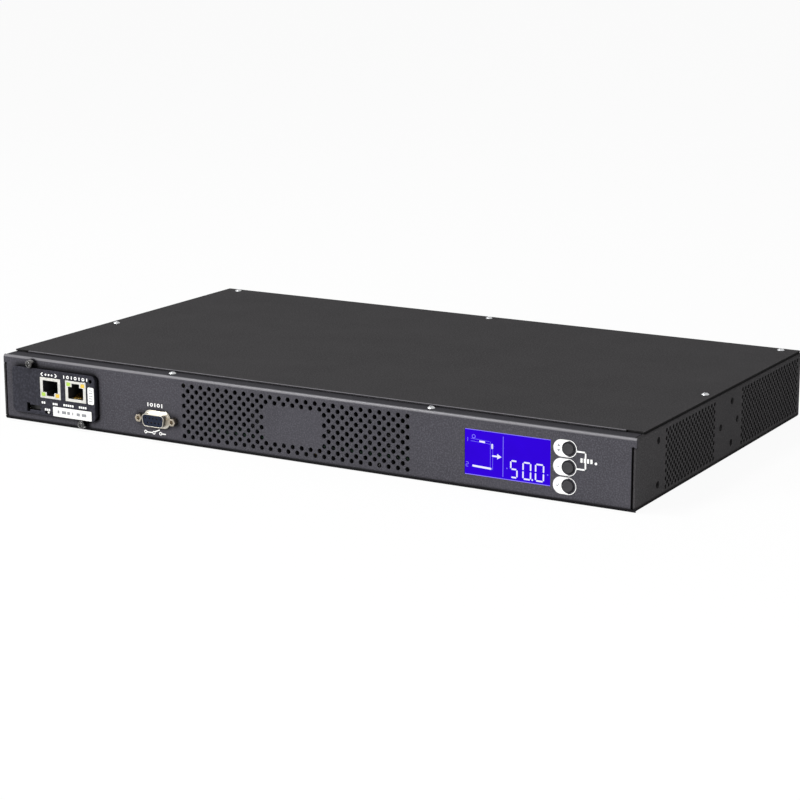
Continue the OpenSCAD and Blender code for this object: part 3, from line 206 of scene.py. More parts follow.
def textured(tree, pattern, smoothest, roughest, depth, rounded=None, height=None):
    """An uneven roughness from a pattern, and a normal that it (or a height) raises by depth mm."""
    gloss = add_node(tree, "ShaderNodeMapRange",
                     {"Value": pattern, "From Min": NOISE[0], "From Max": NOISE[1],
                      "To Min": smoothest, "To Max": roughest})
    under = {} if rounded is None else {"Normal": rounded}
    raised = add_node(tree, "ShaderNodeBump",
                      {"Height": pattern if height is None else height, "Strength": 1.0,
                       "Distance": depth * MM, **under})
    return {"Roughness": gloss.outputs["Result"], "Normal": raised.outputs["Normal"]}


def edge_wear_highlight_mask(tree, rounded):
    """A mask of the edges for wear and painted highlight, where the rounded normal leans 10 to 44
    degrees from the sheet's own.
    """
    flat = add_node(tree, "ShaderNodeNewGeometry").outputs["True Normal"]
    along = add_node(tree, "ShaderNodeVectorMath", {0: rounded, 1: flat}, operation="DOT_PRODUCT")
    return add_node(tree, "ShaderNodeMapRange",
                    {"Value": along.outputs["Value"], "From Min": 0.985,
                     "From Max": 0.72}).outputs["Result"]


def near_line(tree, place, axis, first, height, reach):
    """A mask within reach mm of a line along X at y = first, or along Y at x = +-first."""
    if axis == "Y":
        place = add_node(tree, "ShaderNodeVectorMath", {0: place}, operation="ABSOLUTE").outputs[0]
    keep = (0, 1, 1) if axis == "X" else (1, 0, 1)
    point = (0, first * MM, height * MM) if axis == "X" else (first * MM, 0, height * MM)
    across = add_node(tree, "ShaderNodeVectorMath", {0: place, 1: keep}, operation="MULTIPLY")
    away = add_node(tree, "ShaderNodeVectorMath", {0: across.outputs[0], 1: point},
                    operation="DISTANCE")
    return add_node(tree, "ShaderNodeMapRange",
                    {"Value": away.outputs["Value"], "From Min": reach * 1.1 * MM,
                     "From Max": reach * 0.7 * MM}).outputs["Result"]


def painted_slit_shadow(tree, place):
    """A mask of painted shadow along the edges of the slit at the panel's right end."""
    axes = add_node(tree, "ShaderNodeSeparateXYZ", {0: place}).outputs
    low, high = SLIT_Z
    far, near = 0.95, 0.85    # from the slit's middle: where the painted shadow begins, and where it is full
    mask = 1.0
    for axis, outside, inside in (("X", SLIT_X - far, SLIT_X - near),
                                  ("X", SLIT_X + far, SLIT_X + near),
                                  ("Z", low - 0.4, low - 0.1), ("Z", high + 0.4, high + 0.1)):
        side = add_node(tree, "ShaderNodeMapRange",
                        {"Value": axes[axis], "From Min": outside * MM, "From Max": inside * MM})
        mask = add_node(tree, "ShaderNodeMath", {0: mask, 1: side.outputs["Result"]},
                        operation="MULTIPLY").outputs[0]
    return mask


def hollow_shade_mask(tree, reach):
    """A mask of painted shade in holes, slits and seams, whose inside is within reach millimetres
    of other sheet.
    """
    open_air = add_node(tree, "ShaderNodeAmbientOcclusion", {"Distance": reach * MM}, samples=6)
    return add_node(tree, "ShaderNodeMapRange",
                    {"Value": open_air.outputs["AO"], "From Min": 0.96,
                     "From Max": 0.6}).outputs["Result"]


# ---- finishes ----

def powder_coat(name, base, coat, grain_size, grain_depth, edge_wear_highlight_tone=1.7, fold=None, shade_lines=(),
                slit=False):
    """Baked powder coat: orange-peel grain, pale specks, faint clouds, painted shade in holes,
    seams and along lines, and edges lightened by wear and painted highlight.

    A fold is the y, z, reach and tone of a painted highlight along a corner. Each line of painted
    shadow is its axis, place, height, reach and share.
    """
    rough, specular = coat
    tree, place = new_material(name)
    fine = grain(tree, place, grain_size, 2.0)
    clouds = grain(tree, place, CLOUD_SIZE, 2.0)
    specks = grain(tree, place, grain_size * 1.6, 1.0)
    rounded = add_node(tree, "ShaderNodeBevel", {"Radius": 0.3 * MM}, samples=4).outputs["Normal"]
    tone = laid_over(tree, shade(base, 0.93), shade(base, 1.07), clouds)
    tone = laid_over(tree, tone, shade(base, 1.8), specks, (0.45, 0.7), SPECK_SHARE)
    # Edges are lightened: partly wear, partly a painted highlight.
    tone = laid_over(tree, tone, shade(base, edge_wear_highlight_tone), edge_wear_highlight_mask(tree, rounded), MASK, 0.5)
    inputs = textured(tree, fine, rough - 0.08, rough + 0.08, grain_depth, rounded)
    # Painted shadow beside the slit, so that it reads wider and darker.
    if slit:
        tone = laid_over(tree, tone, shade(base, PAINTED_SHADE_TONE), painted_slit_shadow(tree, place), MASK)
    # Painted shadow along each given line, such as a seam or a bottom edge.
    for *line, share in shade_lines:
        line_shade = near_line(tree, place, *line)
        tone = laid_over(tree, tone, shade(base, LINE_SHADE_TONE), line_shade, MASK, share)
    if fold:
        # Painted highlight along the front's long corner: a lighter tone, also smoother and partly
        # metallic so that it catches the lamps.
        *line, highlight_tone = fold
        fold_highlight = near_line(tree, place, "X", *line)
        tone = laid_over(tree, tone, highlight_tone, fold_highlight, MASK)
        inputs["Metallic"] = add_node(tree, "ShaderNodeMath", {0: fold_highlight, 1: FOLD_GLINT_METAL},
                                      operation="MULTIPLY").outputs[0]
        inputs["Roughness"] = add_node(tree, "ShaderNodeMix",
                                       {"Factor": fold_highlight, "A": inputs["Roughness"],
                                        "B": FOLD_GLINT_ROUGH}).outputs["Result"]
    # Painted shade: holes, slits and seams go dark where other sheet is near.
    tone = laid_over(tree, tone, shade(base, PAINTED_SHADE_TONE), hollow_shade_mask(tree, HOLLOW_SHADE_REACH), MASK)
    finish_material(tree, {"Base Color": tone, "Specular IOR Level": specular, **inputs})


def moulded(name, base, rough=0.5, texture=0.3, depth=0.01, spots=9.0, specular=0.5):
    """Moulded plastic: spark-eroded grain with faint flow tone and slightly uneven gloss."""
    tree, place = new_material(name)
    fine = grain(tree, place, texture, 2.0)
    flow = grain(tree, place, spots, 2.0, (2.5, 1, 1))
    rounded = add_node(tree, "ShaderNodeBevel", {"Radius": 0.12 * MM}, samples=4).outputs["Normal"]
    finish_material(tree, {
        "Base Color": laid_over(tree, shade(base, 0.88), shade(base, 1.1), flow),
        "Specular IOR Level": specular,
        **textured(tree, fine, rough - 0.07, rough + 0.1, depth, rounded),
    })


def metal(name, base, rough=0.28, lines=(1, 1, 1), size=0.3, depth=0.004, stain=None, edge=0.12,
          oiled=False):
    """Plated metal: drawn lines, cloudy tone, soft edges and, if oiled, a clear film."""
    tree, place = new_material(name)
    drawn = grain(tree, place, size, 3.0, lines)
    clouds = grain(tree, place, 3.5, 3.0)
    tone = laid_over(tree, shade(base, 0.85), shade(base, 1.08), clouds)
    if stain:
        tone = laid_over(tree, tone, stain, clouds, (0.5, 0.68), 0.55)
    rounded = add_node(tree, "ShaderNodeBevel", {"Radius": edge * MM}, samples=4).outputs["Normal"]
    finish_material(tree, {
        "Base Color": tone,
        "Metallic": 1.0,
        **textured(tree, drawn, rough - 0.08, rough + 0.12, depth, rounded),
        **({"Coat Normal": rounded, **OIL_FILM} if oiled else {}),
    })


def solder_mask(name, base, track, cell=3.1):
    """Circuit board: slightly glossy green mask over a maze of raised copper tracks."""
    tree, place = new_material(name)
    scaled = add_node(tree, "ShaderNodeMapping", {"Vector": place, "Scale": (1 / (cell * MM),) * 3})
    cells = add_node(tree, "ShaderNodeTexVoronoi",
                     {"Vector": scaled.outputs["Vector"], "Scale": 1.0, "Randomness": 0.55},
                     feature="DISTANCE_TO_EDGE", distance="EUCLIDEAN")
    tracks = add_node(tree, "ShaderNodeMapRange",
                      {"Value": cells.outputs["Distance"], "From Min": 0.09,
                       "From Max": 0.05}).outputs["Result"]
    cloth = grain(tree, place, 0.5, 2.0)
    tone = laid_over(tree, base, track, tracks, MASK)
    finish_material(tree, {
        "Base Color": laid_over(tree, tone, shade(base, 0.6), cloth, share=0.3),
        **textured(tree, cloth, 0.28, 0.42, 0.03, height=tracks),
    })


def winding(name, base, axis, pitch, rough=0.3):
    """Enamelled wire wound in turns: ridges one wire apart, with painted shade in the grooves
    between them.
    """
    tree, place = new_material(name)
    turns = add_node(tree, "ShaderNodeTexWave",
                     {"Vector": place, "Scale": WAVE_LENGTH / (pitch * MM), "Distortion": 0.4,
                      "Detail": 1.0},
                     wave_type="BANDS", bands_direction=axis, wave_profile="SIN").outputs["Fac"]
    finish_material(tree, {
        # Painted shade in the grooves between turns.
        "Base Color": laid_over(tree, shade(base, 0.3), base, turns, MASK),
        "Metallic": 0.8,
        **textured(tree, turns, rough + 0.15, rough, 0.25),
    })


def lit(name, base, strength, size, rough=0.3, film_tone=0.14, specular=0.3):
    """A lamp lens or lit film: the light behind it is a little uneven over its face."""
    tree, place = new_material(name)
    uneven = grain(tree, place, size, 2.0)
    film = shade(base, film_tone * 0.85), shade(base, film_tone)
    gloss = add_node(tree, "ShaderNodeMapRange",
                     {"Value": grain(tree, place, 0.4), "From Min": NOISE[0], "From Max": NOISE[1],
                      "To Min": rough - 0.05, "To Max": rough + 0.05})
    finish_material(tree, {
        "Base Color": laid_over(tree, *film, uneven),
        "Emission Color": laid_over(tree, shade(base, 0.9), base, uneven),
        "Emission Strength": strength,
        "Specular IOR Level": specular,
        "Roughness": gloss.outputs["Result"],
    })


def ink(name, base, rough=0.5):
    """Screen print: the mesh of the screen leaves it a little uneven in tone and height."""
    tree, place = new_material(name)
    mesh = grain(tree, place, 0.25, 2.0)
    finish_material(tree, {
        "Base Color": laid_over(tree, shade(base, 0.93), base, mesh),
        **textured(tree, mesh, rough - 0.1, rough + 0.1, 0.008),
    })


# ---- mesh helpers, in millimetres on a flat sheet whose third axis points outward ----

def on_front(y):
    """Puts a flat sheet on a plane that faces the front, at y millimetres."""
    return (Matrix.Translation((0, y * MM, 0)) @ Matrix.Rotation(math.pi / 2, 4, "X")
            @ Matrix.Scale(MM, 4))


def on_rear(y):
    """Puts a flat sheet on a plane that faces the rear; its first axis is minus X."""
    return Matrix.Rotation(math.pi, 4, "Z") @ on_front(-y)


def new_piece(name, bm, placed, finish, slot, body=CASE, smooth=None):
    """Makes the object at the origin, with its place in its mesh, riding on a body."""
    bmesh.ops.transform(bm, matrix=placed, verts=bm.verts)
    bmesh.ops.recalc_face_normals(bm, faces=bm.faces)
    if smooth:
        for face in bm.faces:
            face.smooth = True
        for edge in bm.edges:
            edge.smooth = (len(edge.link_faces) == 2
                           and edge.calc_face_angle() < math.radians(smooth))
    mesh = bpy.data.meshes.new(name)
    bm.to_mesh(mesh)
    bm.free()
    mesh.materials.append(bpy.data.materials[finish])
    piece = bpy.data.objects.new(name, mesh)
    bpy.context.scene.collection.objects.link(piece)
    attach(piece, body)
    return piece


def bar(bm, start, end, width, height, point=0.0):
    """A straight stroke from start to end, its ends cut to a point by that share of its width."""
    start, end = Vector(start), Vector(end)
    way = end - start
    place = (Matrix.Translation(((start + end) / 2).to_3d() + Vector((0, 0, height / 2)))
             @ Matrix.Rotation(math.atan2(way.y, way.x), 4, "Z")
             @ Matrix.Diagonal((way.length, width, height, 1)))
    made = bmesh.ops.create_cube(bm, size=1.0, matrix=place)
    if point:
        upright = {e for v in made["verts"] for e in v.link_edges
                   if abs((e.verts[0].co - e.verts[1].co).z) > height * 0.9}
        bmesh.ops.bevel(bm, geom=list(upright), offset=width * point, offset_type="OFFSET",
                        segments=1, profile=0.5, affect="EDGES", material=-1)


def strokes(bm, points, width, height):
    """Straight strokes from point to point."""
    for start, end in zip(points, points[1:]):
        bar(bm, start, end, width, height)


def disc(bm, x, z, radius, height, sides=32, turn=0.0):
    """A round or many-sided patch."""
    place = Matrix.Translation((x, z, height / 2)) @ Matrix.Rotation(turn, 4, "Z")
    bmesh.ops.create_cone(bm, cap_ends=True, segments=sides, radius1=radius, radius2=radius,
                          depth=height, matrix=place)


def button_field(bm, far, z, reach, clear, height, steps=24):
    """The printed field left of a button: round at its far end and hollowed round the button."""
    sides = []
    for name in ("far", "near"):
        chain = []
        for i in range(steps + 1):
            turn = math.pi * (i / steps - 0.5)
            lift = reach * math.sin(turn)
            near = BUTTON_X - math.sqrt(max(0.0, clear * clear - lift * lift))
            x = far - reach * math.cos(turn) if name == "far" else near
            chain.append(bm.verts.new((x, z + lift, 0)))
        sides.append([bm.edges.new(pair) for pair in zip(chain, chain[1:])])
    faces = bmesh.ops.bridge_loops(bm, edges=sides[0] + sides[1])["faces"]
    top = bmesh.ops.extrude_face_region(bm, geom=faces, use_keep_orig=True)["geom"]
    bmesh.ops.translate(bm, vec=(0, 0, height),
                        verts=[v for v in top if isinstance(v, bmesh.types.BMVert)])


def ring(bm, x, z, inner, outer, height, start=0.0, sweep=2 * math.pi, steps=40):
    """A flat ring or an arc of one, swept from its cross-section."""
    place = (Matrix.Translation((x, z, 0)) @ Matrix.Rotation(start, 4, "Z")
             @ Matrix.Translation(((inner + outer) / 2, 0, height / 2))
             @ Matrix.Rotation(math.pi / 2, 4, "X")
             @ Matrix.Diagonal((outer - inner, height, 1, 1)))
    section = bmesh.ops.create_grid(bm, x_segments=1, y_segments=1, size=0.5, matrix=place)["verts"]
    edges = list({e for v in section for e in v.link_edges})
    faces = list({f for v in section for f in v.link_faces})
    full = sweep >= 2 * math.pi - 1e-6
    bmesh.ops.delete(bm, geom=faces, context="FACES_ONLY")
    bmesh.ops.spin(bm, geom=section + edges, cent=(x, z, 0), axis=(0, 0, 1), dvec=(0, 0, 0),
                   angle=sweep, steps=steps, use_merge=full, use_duplicate=False)
    if not full:
        bmesh.ops.holes_fill(bm, edges=[e for e in bm.edges if e.is_boundary], sides=4)


def lathe(bm, profile, steps=40):
    """A turned form about the third axis, from (radius, height) points in order."""
    verts = [bm.verts.new((r, 0, h)) for r, h in profile]
    edges = [bm.edges.new(pair) for pair in zip(verts, verts[1:])]
    bmesh.ops.spin(bm, geom=verts + edges, cent=(0, 0, 0), axis=(0, 0, 1), dvec=(0, 0, 0),
                   angle=2 * math.pi, steps=steps, use_merge=True, use_duplicate=False)
    bmesh.ops.remove_doubles(bm, verts=bm.verts, dist=1e-5)


def seven_segment(bm, digit, x, z, width, height, stroke, depth):
    """One digit of a display from its lit bars, with its low left corner at x, z."""
    lit_bars = {"0": "abcdef", "1": "bc", "2": "abged", "5": "afgcd"}[digit]
    left, right, low, mid, top = x, x + width, z, z + height / 2, z + height
    gap = stroke * 0.45
    ends = {
        "a": ((left + gap, top), (right - gap, top)),
        "b": ((right, mid + gap), (right, top - gap)),
        "c": ((right, low + gap), (right, mid - gap)),
        "d": ((left + gap, low), (right - gap, low)),
        "e": ((left, low + gap), (left, mid - gap)),
        "f": ((left, mid + gap), (left, top - gap)),
        "g": ((left + gap, mid), (right - gap, mid)),
    }
    for name in lit_bars:
        bar(bm, *ends[name], stroke, depth, 0.3)


# ---- the pieces ----

class PieceMaker:
    """What every operator here shares."""
    bl_options = {"REGISTER", "UNDO"}

    @property
    def sizes(self):
        """The sizes, in metres."""
        return bpy.context.scene.switch_sizes

    @property
    def colours(self):
        """The colours."""
        return bpy.context.scene.switch_colours


class SWITCH_OT_finishes(PieceMaker, bpy.types.Operator):
    """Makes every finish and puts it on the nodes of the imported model"""
    bl_idname = "switch.finishes"
    bl_label = "Finishes"

    def execute(self, context):
        self.painted_sheet()
        self.metals()
        self.plastics()
        self.prints_and_lamps()
        self.dress_nodes()
        return {"FINISHED"}

    def painted_sheet(self):
        """The three coats of paint on steel sheet."""
        tones, size, depth = self.colours, self.sizes.coat / MM, self.sizes.relief / MM
        # The case's coat is a dark, matt charcoal, so its broad faces stay quiet beside the prints.
        # Painted highlight along the cover's front edge; painted shadow in the seam between the
        # cover and the side walls and along the side walls' bottom edges.
        powder_coat("case_powder_coat", tuple(tones.case), CASE_COAT, size, depth,
                    fold=(COVER_Y, COVER_Z, 1.2, linear("77757A")),
                    shade_lines=(("Y", SIDE_X, COVER_Z - 0.7, 0.9, 1.0), ("Y", SIDE_X, 0.0, 2.8, 1.0)))
        # The panel is a little bluer than the case; its lighter tone is partly painted light, for
        # the brighter front.
        # Painted highlight along the panel's top fold; painted shadow on the strip before the
        # cover, along the panel's bottom edge and beside the slit.
        powder_coat("panel_powder_coat", tuple(tones.panel), PANEL_COAT, size, depth,
                    fold=(FACE_Y, STRIP_Z, 1.5, linear("6E6D70")),
                    shade_lines=(("X", COVER_Y - 3.5, STRIP_Z, 6.2, 0.6), ("X", FACE_Y, 0.0, 2.6, 1.0)),
                    slit=True)
        # The card's plate is smoother wet paint, which reads darker; its much lighter edges are
        # mostly a painted highlight, with some wear.
        powder_coat("card_plate_paint", tuple(tones.bracket), PLATE_COAT, size * 1.6, depth * 0.4,
                    edge_wear_highlight_tone=6.0)

    def metals(self):
        """Plated, bare and wound metal."""
        # Bright zinc on small steel parts gives pin-point lights along the seams.
        metal("bright_zinc_steel", linear("C9CACC"), 0.3, stain=linear("A9ABA8"))
        # Nickel on the breakers' nuts is darker and mirrors its surroundings.
        metal("polished_nickel", linear("B4B2AC"), 0.2, size=0.5, depth=0.002)
        # Black oxide with a film of oil: nearly black, with one small sharp light on each dome.
        metal("black_oxide_steel", linear("1F1E1D"), 0.25, size=0.4, stain=linear("2E2722"),
              edge=0.5, oiled=True)
        # Thin nickel over brass on the serial port's posts turns brown where it wears.
        metal("dull_brass_nickel", linear("AFA697"), 0.25, size=0.4, stain=linear("6E5238"))
        # Tin on the jack shields is dull and cloudy, as thin pressed sheet is.
        metal("tinned_jack_sheet", linear("DCDBD5"), 0.32, (1, 8, 1), depth=0.006,
              stain=linear("9E9E98"))
        # Tin over steel on the serial shell has a warm tone against the blue insulator.
        metal("warm_tin_plate", linear("CFCAC0"), 0.3, (1, 6, 1), stain=linear("8E806C"), edge=0.3)
        # Gold over nickel on the contacts gives warm glints inside the jacks.
        metal("gold_flash", linear("E8C063"), 0.22, (1, 4, 1), size=0.2, depth=0.003)
        # Turned brass shows fine lines round each post and darker patches.
        metal("raw_brass", linear("C9A455"), 0.33, (1, 1, 6), depth=0.005, stain=linear("8C6B33"))
        # Drawn copper has long lines and turns brown in the air.
        metal("busbar_copper", linear("C77B54"), 0.34, (12, 1, 1), depth=0.006,
              stain=linear("7A4630"))
        # The laminations of a core show as fine flat lines.
        metal("stacked_core_steel", linear("6C6E70"), 0.45, (30, 30, 1), size=0.5, depth=0.05)
        # Enamelled wire shows a ridge on each turn, and the ribbon one on each conductor, with
        # painted shade between them.
        winding("enamelled_winding", linear("A5512A"), "Z", 0.8)
        winding("ribbon_conductors", linear("A9ABAD"), "X", 1.27)

    def plastics(self):
        """The circuit boards and everything moulded."""
        # Green mask with raised tracks shows through the grille as a dull green glint.
        solder_mask("green_solder_mask", linear("0A2F1A"), linear("15452A"))
        moulded("black_epoxy", linear("17181A"), 0.55, texture=0.2)  # matt bodies of the chips
        moulded("ivory_nylon", linear("DDD6C0"))  # warm, waxy card rails
        moulded("black_nylon", linear("1B1B1D"), 0.42, depth=0.014)  # sockets with a soft sheen
        moulded("grey_polyester", linear("55575A"), 0.48)  # dull bodies of the small switches
        moulded("white_polycarbonate", linear("E6E6E1"), 0.35, depth=0.008)  # glossy reset pin
        moulded("breaker_cap_white", linear("E9E8E2"), 0.4)  # satin trip buttons
        # Dark blue nylon hardly shines, so it stays deep between the bright walls of the shell.
        moulded("serial_blue_nylon", linear("10182A"), texture=0.25, specular=0.15)
        # Silicone rubber has a soft, matt face that blurs every light on the button caps.
        moulded("button_rubber", linear("2A292C"), 0.62, depth=0.03, spots=3.0, specular=0.35)
        moulded("relay_case", linear("E3DDCB"), 0.35, texture=0.4)  # cream, half-glossy covers
        moulded("capacitor_sleeve", linear("20263A"), 0.25, texture=0.8)  # tight glossy film
        moulded("sensor_body", linear("23272C"))  # dull potting resin
        moulded("wire_insulation", linear("26282B"), 0.38, texture=0.4)  # slightly shiny vinyl

    def prints_and_lamps(self):
        """Prints, labels, the display's light and the lamp lenses."""
        ink("white_screen_print", tuple(self.colours.ink))  # crisp white on the dark panel
        ink("grey_label_print", linear("808285"), 0.6)  # small dull marks on the labels
        ink("white_vinyl_label", linear("ECECE8"), 0.3)  # smoother than ink: a flat white tab
        # An even blue field behind a smooth, dark glass.
        lit("lcd_backlight", tuple(self.colours.lamp), 0.84, 18.0, rough=0.2, film_tone=0.02,
            specular=0.02)
        lit("lcd_marks", tuple(self.colours.glow), 0.86, 4.0)  # clear marks, lit from behind
        lit("lcd_faint_marks", linear("8F7BFF"), 0.9, 4.0)  # segments that are only partly clear
        # Small tinted lenses that glow without dazzling.
        lit("green_lamp_lens", linear("B8DC5C"), 0.7, 1.5, rough=0.25, film_tone=0.3)
        lit("amber_lamp_lens", linear("F2CB50"), 0.7, 1.5, rough=0.25, film_tone=0.3)

    def dress_nodes(self):
        """Puts on every node the finish of its material slot, or its own."""
        worn = {
            "painted_case": "case_powder_coat", "painted_panel": "panel_powder_coat",
            "painted_bracket": "card_plate_paint", "zinc_steel": "bright_zinc_steel",
            "nickel_screw": "polished_nickel", "circuit_board": "green_solder_mask",
            "black_epoxy": "black_epoxy", "ivory_plastic": "ivory_nylon",
            "jack_shield": "tinned_jack_sheet", "black_plastic": "black_nylon",
            "gold_contact": "gold_flash", "green_light": "green_lamp_lens",
            "amber_light": "amber_lamp_lens", "white_plastic": "white_polycarbonate",
            "grey_plastic": "grey_polyester", "serial_steel": "warm_tin_plate",
            "serial_blue": "serial_blue_nylon", "lcd_glass": "lcd_backlight",
            "button_cap": "button_rubber", "ribbon_grey": "ribbon_conductors",
            "brass_part": "raw_brass", "relay_case": "relay_case",
            "capacitor_sleeve": "capacitor_sleeve", "sensor_body": "sensor_body",
            "core_steel": "stacked_core_steel", "copper_winding": "enamelled_winding",
            "breaker_white": "breaker_cap_white", "copper_bar": "busbar_copper",
            "lead_insulation": "wire_insulation",
        }
        singled_out = {"card_screws": "black_oxide_steel", "serial_jackposts": "dull_brass_nickel"}
        for part in frame["record"]["subparts"]:
            shown = frame["nodes"][part["node"]]
            finish = singled_out.get(part["node"], worn[part["material_slot"]])
            if not shown.data.materials:
                shown.data.materials.append(None)
            for slot in shown.material_slots:
                slot.link = "OBJECT"
                slot.material = bpy.data.materials[finish]


class SWITCH_OT_button_prints(PieceMaker, bpy.types.Operator):
    """Prints the white fields, rings and marks of the three buttons"""
    bl_idname = "switch.button_prints"
    bl_label = "Button prints"

    def execute(self, context):
        deep, line = self.sizes.ink / MM, self.sizes.ring / MM
        reach = 4.95   # half the height of an outline
        far = 174.3    # middle of its round far end
        clear = 4.2    # radius of the bare panel round a button
        for number, z in enumerate(BUTTON_ZS, 1):
            bm = bmesh.new()
            button_field(bm, far, z, reach - line * 0.6, clear, deep)
            new_piece(f"button_{number}_field", bm, on_front(FACE_Y), *WHITE_PRINT)
            bm = bmesh.new()
            ring(bm, BUTTON_X, z, reach - line, reach, deep, -math.pi / 2, math.pi)
            for side in (-1, 1):
                level = z + side * (reach - line / 2)
                bar(bm, (far, level), (BUTTON_X, level), line, deep)
            ring(bm, far, z, reach - line, reach, deep, math.pi / 2, math.pi)
            new_piece(f"button_{number}_outline", bm, on_front(FACE_Y), *WHITE_PRINT)
        # Two arrowheads, a dash and a tick, printed on top of the fields.
        bm = bmesh.new()
        top = deep * 2
        upper, middle, lower = BUTTON_ZS
        arrow_x, arrow_gap, arrow_size = 172.6, 1.4, 1.05
        disc(bm, arrow_x, upper + arrow_gap, arrow_size, top, 3)
        disc(bm, arrow_x, upper - arrow_gap, arrow_size, top, 3, math.pi)
        bar(bm, (171.6, middle), (173.2, middle), 0.45, top)
        strokes(bm, [(171.5, lower), (172.1, lower - 0.8), (173.2, lower + 0.9)], 0.4, top)
        new_piece("button_marks", bm, on_front(FACE_Y), *GREY_PRINT)
        return {"FINISHED"}


class SWITCH_OT_panel_prints(PieceMaker, bpy.types.Operator):
    """Prints the bracket by the buttons and plain marks by the serial port"""
    bl_idname = "switch.panel_prints"
    bl_label = "Panel prints"

    def execute(self, context):
        deep, line = self.sizes.ink / MM, self.sizes.stroke / MM
        bm = bmesh.new()
        bracket = [Vector(point) for point in ((183.8, 30.4), (189.0, 30.4), (189.0, 20.5),
                                               (183.8, 20.5))]
        for start, end in zip(bracket, bracket[1:]):
            past = (end - start).normalized() * line / 2
            bar(bm, start - past, end + past, line, deep)
        # Four blocks stand where a short word would, and a dot after them.
        for i in range(4):
            x = 186.6 + 2.0 * i
            bar(bm, (x, 24.5), (x, 26.9), 1.2, deep * 1.5)
        disc(bm, 195.3, 24.9, 0.75, deep)
        new_piece("test_bracket_print", bm, on_front(FACE_Y), *WHITE_PRINT)
        # Ones and noughts above the serial port, and an open contact below it.
        bm = bmesh.new()
        bits_z, contact_z, thick = 22.6, 5.1, 0.7
        for i in range(5):
            x = -106.6 + 2.6 * i
            if i % 2:
                ring(bm, x, bits_z, 0.6, 1.15, deep, steps=20)
            else:
                bar(bm, (x, bits_z - 1.2), (x, bits_z + 1.2), thick, deep)
        for x in (-108.8, -102.6, -97.6):
            ring(bm, x, contact_z, 0.55, 1.1, deep, steps=20)
        bar(bm, (-107.7, contact_z), (-103.7, contact_z), thick, deep)
        bar(bm, (-102.0, contact_z + 0.7), (-98.2, contact_z + 2.3), thick, deep)
        bar(bm, (-96.5, contact_z), (-93.6, contact_z), thick, deep)
        new_piece("serial_port_marks", bm, on_front(FACE_Y), *WHITE_PRINT)
        return {"FINISHED"}


class SWITCH_OT_display(PieceMaker, bpy.types.Operator):
    """Lights the display: the flow diagram of the two sources and the reading"""
    bl_idname = "switch.display"
    bl_label = "Display"

    def execute(self, context):
        deep = 0.02                     # thickness of a mark
        feed_x, load_z = 131.2, 21.0    # the line that both sources feed, and the load's branch
        bm = bmesh.new()
        for digit, x, width in (("5", 143.0, 3.9), ("0", 150.7, 4.7), ("0", 158.5, 4.9)):
            seven_segment(bm, digit, x, 10.3, width, 9.5, 0.87, deep)
        disc(bm, 156.5, 10.4, 0.5, deep, 16)
        bar(bm, (123.0, 28.45), (126.6, 28.3), 1.0, deep)
        bar(bm, (feed_x, 27.9), (feed_x, 25.0), 1.15, deep, 0.3)
        bar(bm, (feed_x, load_z), (134.8, load_z), 0.9, deep)
        disc(bm, 135.3, load_z, 1.8, deep, 3, -math.pi / 2)
        bar(bm, (118.6, 13.8), (130.8, 13.4), 1.15, deep, 0.3)
        new_piece("display_bright_marks", bm, on_front(GLASS_Y), "lcd_marks", "lcd_glass")
        # Fainter: the divider, the outline of the path, the sources' numbers and the window's rims.
        bm = bmesh.new()
        bar(bm, (138.1, 9.7), (138.1, 33.0), 0.3, deep)
        path_x, path_z, fine = 130.8, 28.3, 0.16
        for side in (-0.75, 0.75):
            bar(bm, (117.6, 28.9 + side), (130.2 - side, path_z + side), fine, deep)
            bar(bm, (path_x + side, path_z - side), (path_x + side, 12.9), fine, deep)
        ring(bm, 119.4, 30.9, 0.85, 1.15, deep)
        for number, x, z in (("1", 114.1, 27.6), ("2", 114.6, 13.0)):
            seven_segment(bm, number, x, z, 1.5, 2.5, 0.3, deep)
        rim = 0.4
        for level in (WINDOW_Z[0] + rim / 2, WINDOW_Z[1] - rim / 2):
            bar(bm, (WINDOW_X[0], level), (WINDOW_X[1], level), rim, deep)
        for x, z in ((140.6, 15.0), (166.0, 14.6)):
            disc(bm, x, z, 0.35, deep, 12)
        new_piece("display_faint_marks", bm, on_front(GLASS_Y), "lcd_faint_marks", "lcd_glass")
        return {"FINISHED"}


